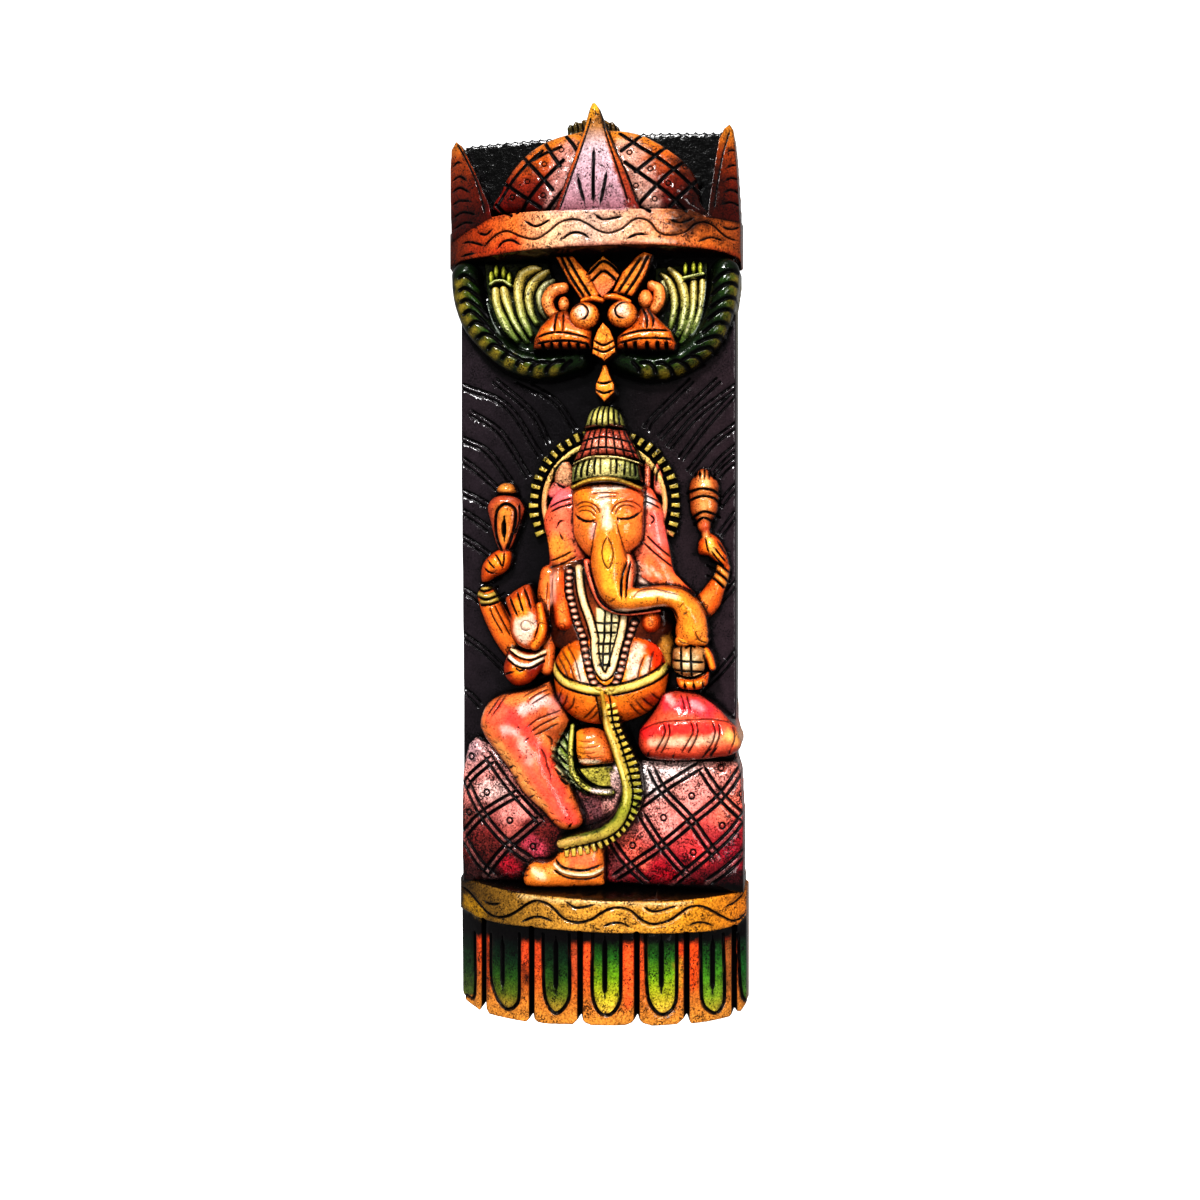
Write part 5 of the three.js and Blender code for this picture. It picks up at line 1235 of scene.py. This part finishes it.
left_seat = [[-85.5, -120], [-90.5, -125], [-93, -135], [-94.5, -145.5], [-95, -162.5], [-95, -183.5],
             [-95, -204], [-94.5, -220.5], [-53.5, -219.5], [8.5, -218], [8.5, -154], [-26, -148],
             [-53.5, -134.5]]
right_seat = [[94.5, -134], [97, -142.5], [97.5, -154], [98.5, -171.5], [98.5, -199.5], [99, -223],
              [1.5, -218], [1.5, -133.5]]
pillow(left_seat, [[-70, -160], [-60, -200]], 26, 35,
       (["#c89894", "#c88078", "#7a2c2a", "#2a0e0e"], (-80, -120), (-62, -214)))
pillow(right_seat, [[55, -150], [55, -200]], 28, 38,
       (["#e8c4bc", "#dc9488", "#cc5c54", "#a02230", "#3a0e14"], (40, -134), (72, -216)))
for patch_of, reach, shade in (
    ([[32.5, -143.5], [39, -153.5]], 9.6, "#f8eae6"), ([[46, -143], [63, -139.5]], 6.4, "#f6dcd6"),
    ([[69.5, -149.5], [63, -160]], 11.2, "#e8988e"), ([[39, -167], [48, -175]], 12.8, "#f2a298"),
    ([[84.5, -169.5], [93, -159.5]], 10.4, "#e27c66"), ([[84.5, -138], [89.5, -140.5]], 6.4, "#c87060"),
    ([[66, -190], [69.5, -197]], 9.6, "#d84848"), ([[22, -191], [29, -201]], 9.6, "#e8705c"),
    ([[42.5, -206.5], [50.5, -209]], 8.8, "#a81628"), ([[89.5, -193], [95, -199.5]], 8, "#9a1c30"),
    ([[10, -203], [16.5, -213.5]], 7.2, "#6a3a3c"), ([[-76.5, -155.5], [-67.5, -155.5]], 9.6, "#e8c0b8"),
    ([[-60.5, -172.5], [-53.5, -167.5]], 10.4, "#ee9c92"), ([[-88, -131.5], [-87, -125]], 7.2, "#a88488"),
    ([[-62, -184], [-55, -180]], 7.2, "#b4645a"), ([[28, -178], [35, -184]], 8, "#c8786e"),
    ([[-89.5, -171], [-91, -176.5]], 7.2, "#6a3a34"), ([[-78, -193.5], [-74.5, -196.5]], 9.6, "#5a2420"),
    ([[-46.5, -190.5], [-39.5, -196]], 7.2, "#c04a5c"), ([[-64, -204.5], [-59, -208.5]], 8, "#a82032"),
    ([[-88, -210.5], [-74.5, -216]], 9.6, "#3a2020"), ([[-5, -164.5], [1.5, -174.5]], 9.6, "#7a5054"),
):
    tint(patch_of, reach, shade, 0.85, above=20, below=40)
# Painted shade along the foot of the seat, where it meets the band.
tint([[-94, -220.5], [-53.5, -221], [1.5, -219.5], [56, -219], [102, -218]], 4, "#120a0c", 1.0, above=18)
seams = (
    [[35.5, -137.5], [45, -153.5], [61.5, -170.5], [73.5, -187.5], [81.5, -198.5]],
    [[69.5, -137], [83, -156], [100.5, -174]], [[29, -168.5], [43, -189.5], [61.5, -211]],
    [[7, -186.5], [19.5, -202.5], [34.5, -218.5]], [[27.5, -164.5], [48, -149.5], [71, -135.5]],
    [[10, -215], [29, -201], [45, -189.5], [64, -173.5], [83, -157.5], [99, -136.5]],
    [[50.5, -217], [63, -206], [77.5, -193.5], [89.5, -182.5], [101, -168.5]],
    [[73.5, -216.5], [88.5, -205], [102, -193]], [[-78.5, -129.5], [-59, -155], [-37.5, -178]],
    [[-93, -147.5], [-80, -171.5], [-63, -191], [-45, -204]], [[-94, -189], [-82.5, -205], [-71.5, -216]],
    [[-94, -156], [-87, -146], [-71.5, -133]], [[-95, -189], [-82.5, -175], [-68.5, -165], [-53.5, -156.5]],
    [[-78.5, -214.5], [-66, -198], [-50.5, -184], [-38, -173.5]],
)
for seam in seams:
    tint(curve(seam, 4), 2.2, "#dca8a2", 0.15, above=22, below=40)
    pair(seam, 4.4, wide=2.7, deep=2.0)
for x, y in (
    [64, -156.5], [45, -171.5], [83.5, -138], [97.5, -156], [84.5, -176.5], [24, -191], [65, -194.5],
    [-88, -133], [-76.5, -157], [-60.5, -176], [-89.5, -171.5], [-44.5, -193.5],
):
    score(hoop(x, y, 1.9, 2.1, 2 * math.pi), wide=1.5, deep=1.1, blunt=True)


# Base
# A second waved band, in gold, over a row of hanging leaves. The leaves run from green in the shadow of
# the band to yellow at their tips, each in a brown border, with a V cut between them at the foot.

BASE = {"left": -98, "right": 101, "edge": 20, "crest": 63}
SUNK = {**BASE, "edge": BASE["edge"] - 3, "crest": BASE["crest"] - 3}
skirt = [[-97.5, -236], [-96.5, -299], [-94, -304.5], [-82, -308], [-78.5, -303], [-74.5, -308.5],
         [-66, -308.5], [-46.5, -308], [-42.5, -304], [-38.5, -307], [-34, -307.5], [-14, -306], [-9, -301],
         [-5.5, -304.5], [-1.5, -306], [21, -305.5], [25, -304], [28.5, -300.5], [32.5, -304.5],
         [38, -306.5], [54.5, -307], [60.5, -302.5], [64, -307.5], [73.5, -308], [89.5, -307.5],
         [92.5, -304.5], [97, -306], [101, -301], [101, -289], [101, -230.5]]
sheathed(skirt, SUNK, (["#c4481e", "#cc5a26", "#b86a2c", "#c8863a"], (0, -258), (0, -304)))
LEAF_GREEN = ["#0a1410", "#14301a", "#2c501a", "#58661e", "#a88434"]
LEAF_LIME = ["#0a1410", "#2a5e1c", "#6c9418", "#aaa428", "#dcae48"]
leaves = (
    ([[-98, -258], [-98, -300], [-92.5, -300.5], [-86, -298], [-86, -255.5]],
     ["#0c1a12", "#1c3a1a", "#54602a"], ()),
    ([[-73, -253.5], [-73, -281.5], [-70.5, -291.5], [-66, -299], [-60, -302], [-54, -298], [-51.5, -289],
      [-51.5, -249.5]], LEAF_GREEN, [[-64, -253], [-64, -290]]),
    ([[-34.5, -247.5], [-34, -281.5], [-31.5, -294], [-26, -299.5], [-20.5, -296], [-16.5, -288.5],
      [-16, -276.5], [-16.5, -246]], LEAF_GREEN, [[-25.5, -248], [-25.5, -286.5]]),
    ([[-0.5, -245], [-1, -279], [0.5, -291], [5, -298], [11.5, -298], [17, -290.5], [18, -278.5],
      [18, -245]], LEAF_LIME, [[7.5, -246.5], [7.5, -287.5]]),
    ([[34, -245], [35, -279], [37, -291], [42.5, -298.5], [48, -299], [53, -294], [54.5, -283.5],
      [54.5, -246.5]], LEAF_LIME, [[44.5, -247], [44.5, -285]]),
    ([[70, -248], [70.5, -282.5], [71.5, -294.5], [75.5, -300.5], [80.5, -303], [84.5, -299], [86, -288.5],
      [85, -250.5]], ["#0a1410", "#265c20", "#4a8020", "#789428", "#b8a038"], [[78, -250.5], [78, -289.5]]),
    ([[95, -252.5], [96.5, -287.5], [99, -298], [104, -298.5], [104, -254]],
     ["#0e2418", "#1f5a24", "#4a6a2a"], ()),
)
for bowl, greens, vein in leaves:
    wash(bowl, (greens, (0, bowl[0][1] - 4), (0, min(y for _, y in bowl))), above=8)
    score(bowl, wide=2.8, deep=2.2, per=3, blunt=True)
    if vein:
        score(vein, wide=4.0, deep=2.8)
for border, shade in (
    ([[-47.5, -254.5], [-47.5, -268]], "#d0522c"), ([[-37.5, -253], [-38, -268.5]], "#b84a26"),
    ([[-3.5, -253], [-3.5, -272.5]], "#e05c2c"), ([[23, -252], [23, -292]], "#e2602c"),
    ([[31.5, -249], [32, -265.5]], "#d85c2c"), ([[65, -257], [65, -281.5]], "#dc541c"),
    ([[-12.5, -255], [-12.5, -273]], "#a85030"), ([[-75.5, -261.5], [-75.5, -289]], "#8a3a1c"),
    ([[89, -258.5], [88.5, -289]], "#96602e"), ([[-47.5, -272], [-46.5, -280]], "#3a1610"),
    ([[56.5, -264], [56.5, -280.5]], "#b8862c"),
):
    tint(border, 4, shade, 0.9, above=8)
# Painted shadow of the band over the tops of the leaves.
wash([[-102.5, -222], [107.5, -217], [107.5, -256.5], [70, -253.5], [30.5, -251], [-22.5, -252.5],
      [-66, -255.5], [-102.5, -259.5]], ["#0d090a", "#0b0809"], above=8, soft=2)
for x, foot_y in [[-78.5, -305.5], [-42.5, -306], [-9, -303], [28.5, -302.5], [61, -304.5], [92.5, -307]]:
    score([[x, -244], [x, foot_y]], wide=4.4, deep=7, blunt=True)

band_top = [[-97, -219.5], [-81.5, -219], [-65.5, -220], [-50.5, -221], [-22, -221], [4.5, -222],
            [31, -222.5], [57, -223.5], [83, -223.5], [101, -222.5]]
band_foot = [[103, -240.5], [95, -246], [77.5, -247], [57, -246], [31, -244.5], [4.5, -244], [-22, -243.5],
             [-43, -243.5], [-65.5, -244.5], [-83, -244], [-97, -240.5]]
band_outline = [[-98, band_top[0][1]], *band_top[1:-1], [101, band_top[-1][1]], [101, band_foot[0][1]],
                *band_foot[1:-1], [-98, band_foot[-1][1]]]
sheathed(band_outline, BASE,
         (["#2e1e08", "#8a6626", "#c08c3c", "#c8903c", "#cc8c28", "#bc7020"], (-96, 0), (101, 0)), arris=2.0)
# A painted highlight along the band's upper edge.
tint([[-50.5, -223], [4.5, -224], [63.5, -226]], 1.8, "#e8c48c", 0.6, above=15)
tint([[-90, -235.5], [-81.5, -239.5]], 7, "#b88a1c", 0.7, above=15)
score([[-97, -225], [-90, -227.5], [-83, -232.5], [-75.5, -238], [-68, -240], [-60, -238], [-52.5, -233.5],
       [-45.5, -228], [-38.5, -225], [-30.5, -226.5], [-25, -230.5], [-20, -235], [-14, -237], [-8, -237],
       [-0.5, -234.5], [4.5, -231], [11.5, -227.5], [19, -227], [25.5, -229.5], [31, -234.5], [37.5, -238],
       [44, -238], [50.5, -236], [57, -232], [62, -229], [68, -228.5], [74, -230.5], [79, -234],
       [84.5, -238], [91, -242], [96.5, -241.5], [101, -237.5]], wide=2.1, deep=1.8)
for arc in (
    [[-79, -230.5], [-72.5, -232], [-64.5, -230]], [[-19, -223.5], [-11.5, -227.5], [1.5, -225]],
    [[33, -226.5], [40.5, -230], [55, -227]], [[85.5, -232], [93, -229.5], [99, -224.5]],
    [[-49.5, -240.5], [-43, -237], [-36, -235.5], [-27, -237.5]],
    [[6, -239.5], [12.5, -237], [18, -237], [25, -240]],
    [[62, -241], [68, -239.5], [73, -240.5], [78.5, -243]],
):
    score(arc, wide=2.0, deep=1.5)


# Wear
# Handling has rubbed the seat and the base through to speckled wood and dirt, and the crown and the
# arch less so. The headdress is dirty in its grooves, and the figure is the cleanest.


def age(outline, amount, below=70):
    """Sets how far the paint has worn and taken dirt inside an outline."""
    rows, cols = patch(outline)
    soiled = (inset(outline, rows, cols) > 0) & (relief[rows, cols] < below)
    wear[rows, cols][soiled] = amount


age([[-110, -310], [110, -310], [110, -222], [-110, -222]], 0.65)
age([[-110, -222], [110, -222], [110, -132], [-110, -116]], 0.95, below=40)
age([[38, -196], [86, -196], [86, -156], [46, -156]], 0.6, below=40)
age([[-74, -186], [-44, -186], [-44, -160], [-74, -160]], 0.6, below=40)
age([[-110, 206], [110, 206], [110, 310], [-110, 310]], 0.6)
age([[-92, 206], [-92, 128], [92, 128], [92, 206]], 0.6)
age([[-50, 95], [56, 95], [56, 52], [-50, 52]], 0.7)
wear = blurred(wear, 3)


# Chisel strokes
# The carver's last pass: narrow V cuts that taper where the tool leaves the wood. They follow the
# noted strokes, sink into the surface and keep the black wash. The layer at the back isn't cut.

cut_points, cut_edges = [], []
for stroke in strokes:
    last = None
    for x, y, surface, reach, depth, ink in stroke:
        covered = height_at(x, y) > surface + 1.5
        if covered or surface <= 2:
            last = None
            continue
        cut_points.append((x, y, reach, depth, ink))
        if last is not None:
            cut_edges.append((last, len(cut_points) - 1))
        last = len(cut_points) - 1
cut_points = np.array(cut_points)
cuts_mesh = bpy.data.meshes.new("chisel strokes")
cuts_mesh.from_pydata([(x * MM, 0, y * MM) for x, y in cut_points[:, :2]], cut_edges, [])
for column, name in ((2, "reach"), (3, "depth"), (4, "ink")):
    values = cut_points[:, column] * (1 if name == "ink" else MM)
    cuts_mesh.attributes.new(name, "FLOAT", "POINT").data.foreach_set("value", values.astype(np.float32))
cuts = bpy.data.objects.new("chisel strokes", cuts_mesh)
bpy.context.scene.collection.objects.link(cuts)

carving = bpy.data.node_groups.new("carve the strokes", "GeometryNodeTree")
carving.interface.new_socket("Wood", in_out="INPUT", socket_type="NodeSocketGeometry")
sockets = {name: carving.interface.new_socket(name, in_out="INPUT", socket_type="NodeSocket" + kind)
           for name, kind in (("Strokes", "Object"), ("Paint", "Material"), ("Back Layer", "Float"))}
carving.interface.new_socket("Wood", in_out="OUTPUT", socket_type="NodeSocketGeometry")
given = node(carving, "NodeGroupInput")
routes = node(carving, "GeometryNodeObjectInfo", {"Object": given.outputs["Strokes"]})
position = node(carving, "GeometryNodeInputPosition")
flat = node(carving, "ShaderNodeVectorMath", {0: position.outputs[0], 1: (1, 0, 1)}, operation="MULTIPLY")
near = node(carving, "GeometryNodeProximity",
            {"Geometry": routes.outputs["Geometry"], "Sample Position": flat.outputs[0]},
            target_element="EDGES")
index = node(carving, "GeometryNodeSampleNearest",
             {"Geometry": routes.outputs["Geometry"], "Sample Position": flat.outputs[0]}, domain="POINT")
noted = {}
for name in ("reach", "depth", "ink"):
    named = node(carving, "GeometryNodeInputNamedAttribute", {"Name": name}, data_type="FLOAT")
    picked = node(carving, "GeometryNodeSampleIndex",
                  {"Geometry": routes.outputs["Geometry"], "Value": named.outputs["Attribute"],
                   "Index": index.outputs["Index"]}, data_type="FLOAT", domain="POINT")
    noted[name] = picked.outputs[0]
ratio = node(carving, "ShaderNodeMath", {0: near.outputs["Distance"], 1: noted["reach"]}, operation="DIVIDE")
bowl_cut = node(carving, "ShaderNodeMapRange",
                {"Value": ratio.outputs[0], "From Min": 1.0, "From Max": 0.0, "To Min": 0.0, "To Max": 1.0},
                interpolation_type="SMOOTHSTEP")
sink = node(carving, "ShaderNodeMath", {0: bowl_cut.outputs["Result"], 1: noted["depth"]},
            operation="MULTIPLY")
parts = node(carving, "ShaderNodeSeparateXYZ", {"Vector": position.outputs[0]})
spare = node(carving, "ShaderNodeMath", {0: parts.outputs["Y"], 1: -0.8}, operation="MULTIPLY")
kept = node(carving, "ShaderNodeMath", {0: sink.outputs[0], 1: spare.outputs[0]}, operation="MINIMUM")
inward = node(carving, "ShaderNodeCombineXYZ", {"Y": kept.outputs[0]})
in_front = node(carving, "FunctionNodeCompare", {0: parts.outputs["Y"], 1: given.outputs["Back Layer"]},
                data_type="FLOAT", operation="LESS_THAN")
stain = node(carving, "ShaderNodeMapRange",
             {"Value": ratio.outputs[0], "From Min": 1.15, "From Max": 0.7, "To Min": 0.0, "To Max": 1.0},
             interpolation_type="SMOOTHSTEP")
inked = node(carving, "ShaderNodeMath", {0: stain.outputs["Result"], 1: noted["ink"]}, operation="MULTIPLY")
stored = node(carving, "GeometryNodeStoreNamedAttribute",
              {"Geometry": given.outputs["Wood"], "Selection": in_front.outputs[0], "Name": "ink",
               "Value": inked.outputs[0]}, data_type="FLOAT", domain="POINT")
sunk = node(carving, "GeometryNodeSetPosition",
            {"Geometry": stored.outputs[0], "Selection": in_front.outputs[0], "Offset": inward.outputs[0]})
real = node(carving, "GeometryNodeRealizeInstances", {"Geometry": sunk.outputs[0]})
dressed = node(carving, "GeometryNodeSetMaterial",
               {"Geometry": real.outputs[0], "Material": given.outputs["Paint"]})
node(carving, "NodeGroupOutput", {0: dressed.outputs[0]})


# Painted finish
# Oil paint over wood, rubbed with a black antique wash that stays in the hollows, with painted shade at the
# foot of each rise and on steep walls, and sealed with a glossy lacquer. The eye gets strong worn colour,
# dark lines and small sharp highlights.

lacquer = bpy.data.materials.new("lacquered oil paint on carved wood")
lacquer.use_nodes = True
shader = lacquer.node_tree
finish = shader.nodes["Principled BSDF"]
place = node(shader, "ShaderNodeTexCoord").outputs["Object"]
base_paint = node(shader, "ShaderNodeAttribute", attribute_name="paint").outputs["Color"]
ink_line = node(shader, "ShaderNodeAttribute", attribute_name="ink").outputs["Fac"]
# This attribute holds the black wash in the cuts and painted shade at the foot of each rise and on steep
# walls.
hollow = node(shader, "ShaderNodeAttribute", attribute_name="hollow").outputs["Fac"]
age_of = node(shader, "ShaderNodeAttribute", attribute_name="wear").outputs["Fac"]

BRUSH_MM = 9
SPECK_MM = 1.5
PIT_MM = 1.2
CLUSTER_MM = 7
FACET_MM = 4
brushed = node(shader, "ShaderNodeTexNoise", {"Vector": place, "Scale": 1 / (BRUSH_MM * MM), "Detail": 4.0})
brush_range = node(shader, "ShaderNodeMapRange",
                   {"Value": brushed.outputs["Fac"], "From Min": 0.3, "From Max": 0.7, "To Min": 0.76,
                    "To Max": 1.2})
speckled = node(shader, "ShaderNodeTexNoise",
                {"Vector": place, "Scale": 1 / (SPECK_MM * MM), "Detail": 4.0, "Roughness": 0.7})
mottled = node(shader, "ShaderNodeMapRange",
               {"Value": speckled.outputs["Fac"], "From Min": 0.35, "From Max": 0.65, "To Min": -1.0,
                "To Max": 1.0})
contrast = node(shader, "ShaderNodeMath", {0: age_of, 1: 0.62, 2: 0.04}, operation="MULTIPLY_ADD")
uneven = node(shader, "ShaderNodeMath",
              {0: mottled.outputs[0], 1: contrast.outputs[0], 2: brush_range.outputs[0]},
              operation="MULTIPLY_ADD")
toned = node(shader, "ShaderNodeVectorMath", {0: base_paint, 1: uneven.outputs[0]}, operation="MULTIPLY")
pitted = node(shader, "ShaderNodeTexNoise",
              {"Vector": place, "Scale": 1 / (PIT_MM * MM), "Detail": 3.0, "Roughness": 0.6})
clustered = node(shader, "ShaderNodeTexNoise",
                 {"Vector": place, "Scale": 1 / (CLUSTER_MM * MM), "Detail": 2.0})
gathered = node(shader, "ShaderNodeMath", {0: clustered.outputs["Fac"], 1: 0.5, 2: pitted.outputs["Fac"]},
                operation="MULTIPLY_ADD")
soiled = node(shader, "ShaderNodeMath", {0: age_of, 1: 0.17, 2: gathered.outputs[0]},
              operation="MULTIPLY_ADD")
dirtied = node(shader, "ShaderNodeMath", {0: hollow, 1: 0.35, 2: soiled.outputs[0]}, operation="MULTIPLY_ADD")
grime = node(shader, "ShaderNodeMapRange",
             {"Value": dirtied.outputs[0], "From Min": 0.88, "From Max": 1.04, "To Min": 0.0, "To Max": 0.9})
# The black goes on the wash, the painted shade and the chisel lines.
wash_shade_and_ink = node(shader, "ShaderNodeMath", {0: hollow, 1: ink_line}, operation="MAXIMUM")
dark = node(shader, "ShaderNodeMath", {0: wash_shade_and_ink.outputs[0], 1: grime.outputs["Result"]}, operation="MAXIMUM")
black = (*linear("#0a0709"), 1)
colour = node(shader, "ShaderNodeMix", {"Factor": dark.outputs[0], "A": toned.outputs[0], "B": black},
              data_type="RGBA")

# The back is left as it was sawn, without paint or lacquer.
BACK_SKIN = 0.3
FIBRE_MM = 3
depth_of = node(shader, "ShaderNodeSeparateXYZ", {"Vector": place}).outputs["Y"]
bare = node(shader, "ShaderNodeMath", {0: depth_of, 1: -BACK_SKIN * MM}, operation="GREATER_THAN")
along_grain = node(shader, "ShaderNodeVectorMath", {0: place, 1: (1, 1, 0.05)}, operation="MULTIPLY")
fibre = node(shader, "ShaderNodeTexNoise",
             {"Vector": along_grain.outputs[0], "Scale": 1 / (FIBRE_MM * MM), "Detail": 4.0})
sawn = node(shader, "ShaderNodeMix",
            {"Factor": fibre.outputs["Fac"], "A": (*linear("#6a4a2e"), 1), "B": (*linear("#b08c62"), 1)},
            data_type="RGBA")
both_sides = node(shader, "ShaderNodeMix",
                  {"Factor": bare.outputs[0], "A": colour.outputs["Result"], "B": sawn.outputs["Result"]},
                  data_type="RGBA")
shader.links.new(both_sides.outputs["Result"], finish.inputs["Base Color"])
gloss = node(shader, "ShaderNodeMapRange",
             {"Value": speckled.outputs["Fac"], "From Min": 0.35, "From Max": 0.7, "To Min": 0.1,
              "To Max": 0.24})
matt = node(shader, "ShaderNodeMath", {0: ink_line, 1: 0.4}, operation="MULTIPLY")
rubbed = node(shader, "ShaderNodeMath", {0: gloss.outputs["Result"], 1: matt.outputs[0]}, operation="MAXIMUM")
dry = node(shader, "ShaderNodeMath", {0: bare.outputs[0], 1: 0.8}, operation="MULTIPLY")
smooth = node(shader, "ShaderNodeMath", {0: rubbed.outputs[0], 1: dry.outputs[0]}, operation="MAXIMUM")
shader.links.new(smooth.outputs[0], finish.inputs["Roughness"])
finish.inputs["Specular IOR Level"].default_value = 0.3
tooled = node(shader, "ShaderNodeTexNoise", {"Vector": place, "Scale": 1 / (FACET_MM * MM), "Detail": 3.0})
facets = node(shader, "ShaderNodeBump",
              {"Height": tooled.outputs["Fac"], "Strength": 0.6, "Distance": 0.0005})
grain = node(shader, "ShaderNodeBump",
             {"Height": pitted.outputs["Fac"], "Strength": 0.25, "Distance": 0.0003,
              "Normal": facets.outputs["Normal"]})
shader.links.new(grain.outputs["Normal"], finish.inputs["Normal"])


# The carved panel
# The surface is meshed from the heights, cut by the chisel strokes, thinned where it is plain and
# closed by the flat sawn back that lies on the wall.

TRIANGLES = 186000
BACK_LAYER = 3
SHARP_ANGLE = 55
SLIT_SIDES = 8

relief += np.where(relief > 12, 0.05 * bristles, 0)
# The black wash lies in the narrow cuts; the wider darkening at the foot of each rise, and the black on steep
# walls, are painted shade.
shallow = np.clip((blurred(relief, 1.5) - relief - 0.5) / 3.0, 0, 1)
deep = np.clip((blurred(relief, 4.0) - relief - 1.5) / 8.0, 0, 1)
broad = np.clip((blurred(relief, 10.0) - relief - 2.0) / 14.0, 0, 1)
steep = np.clip((np.hypot(*np.gradient(relief, CELL)) - 2) / 4, 0, 1)
wash_and_painted_shade = np.clip(1.1 * shallow + 0.35 * deep + 0.1 * broad, 0.85 * steep, 1)

outer = (blurred((relief <= 0).astype(float), 2) > 0) & ((steep > 0.3) | (relief <= 15))
front = ((relief > 15) & ~outer).astype(float)
nearby = np.maximum(blurred(front, 3), 1e-9)[..., None]
side_paint = blurred(paint * front[..., None], 3) / nearby
side = outer & (nearby[..., 0] > 0.001)
paint[side] = side_paint[side]
wash_and_painted_shade[side] = 0.2

solid = relief > 0
cells = solid[:-1, :-1] | solid[1:, :-1] | solid[:-1, 1:] | solid[1:, 1:]
used = np.zeros_like(solid)
for rows in (slice(None, -1), slice(1, None)):
    for cols in (slice(None, -1), slice(1, None)):
        used[rows, cols] |= cells
rim = (used & ~solid).astype(float)
grid_x, grid_y = np.meshgrid(across, up)
share = np.maximum(blurred(rim, 2 * CELL), 1e-9)
grid_x = np.where(rim > 0, blurred(grid_x * rim, 2 * CELL) / share, grid_x)
grid_y = np.where(rim > 0, blurred(grid_y * rim, 2 * CELL) / share, grid_y)

# Each point inside the rim has a twin on the wall, so the front and the back share only their rim.
twinned = used & solid
numbers = np.cumsum(used).reshape(used.shape) - 1
behind = np.where(twinned, np.cumsum(twinned).reshape(used.shape) - 1 + used.sum(), numbers)
front_quads, back_quads = (
    np.stack([layer[:-1, :-1], layer[:-1, 1:], layer[1:, 1:], layer[1:, :-1]], -1)[cells]
    for layer in (numbers, behind)
)
corners = np.concatenate([front_quads, back_quads[:, [0, 3, 2, 1]]])
points = np.concatenate([np.stack([grid_x, -relief, grid_y], -1)[used],
                         np.stack([grid_x, 0 * relief, grid_y], -1)[twinned]]) * MM
surface_mesh = bpy.data.meshes.new("carved relief")
surface_mesh.vertices.add(len(points))
surface_mesh.vertices.foreach_set("co", points.astype(np.float32).ravel())
surface_mesh.loops.add(corners.size)
surface_mesh.loops.foreach_set("vertex_index", corners.astype(np.int32).ravel())
surface_mesh.polygons.add(len(corners))
surface_mesh.polygons.foreach_set("loop_start", np.arange(0, corners.size, 4, dtype=np.int32))
surface_mesh.update(calc_edges=True)
colours = np.ones((len(points), 4), np.float32)
colours[:, :3] = np.concatenate([paint[used], paint[twinned]])
surface_mesh.attributes.new("paint", "FLOAT_COLOR", "POINT").data.foreach_set("color", colours.ravel())
for name, field in (("hollow", wash_and_painted_shade), ("wear", wear)):
    values = np.concatenate([field[used], field[twinned]]).astype(np.float32)
    surface_mesh.attributes.new(name, "FLOAT", "POINT").data.foreach_set("value", values)

rough = bpy.data.objects.new("relief_grid", surface_mesh)
bpy.context.scene.collection.objects.link(rough)
chisel = rough.modifiers.new("chisel", "NODES")
chisel.node_group = carving
chisel[sockets["Strokes"].identifier] = cuts
chisel[sockets["Paint"].identifier] = lacquer
chisel[sockets["Back Layer"].identifier] = -BACK_LAYER * MM
thin = rough.modifiers.new("thin", "DECIMATE")
thin.ratio = min(1.0, TRIANGLES / (2 * len(corners)))
depsgraph = bpy.context.evaluated_depsgraph_get()
carved_mesh = bpy.data.meshes.new_from_object(rough.evaluated_get(depsgraph))
bpy.data.objects.remove(rough)
bpy.data.objects.remove(cuts)

shell = bmesh.new()
shell.from_mesh(carved_mesh)
slits = [edge for edge in shell.edges if edge.is_boundary]
patched = bmesh.ops.holes_fill(shell, edges=slits, sides=SLIT_SIDES)
bmesh.ops.triangulate(shell, faces=patched["faces"])
bmesh.ops.recalc_face_normals(shell, faces=shell.faces)
shell.to_mesh(carved_mesh)
shell.free()
carved_mesh.shade_smooth()
carved_mesh.set_sharp_from_angle(angle=math.radians(SHARP_ANGLE))
relief_panel = bpy.data.objects.new("carved_relief", carved_mesh)
bpy.context.scene.collection.objects.link(relief_panel)
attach(relief_panel, "root")
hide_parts("carved_panel")
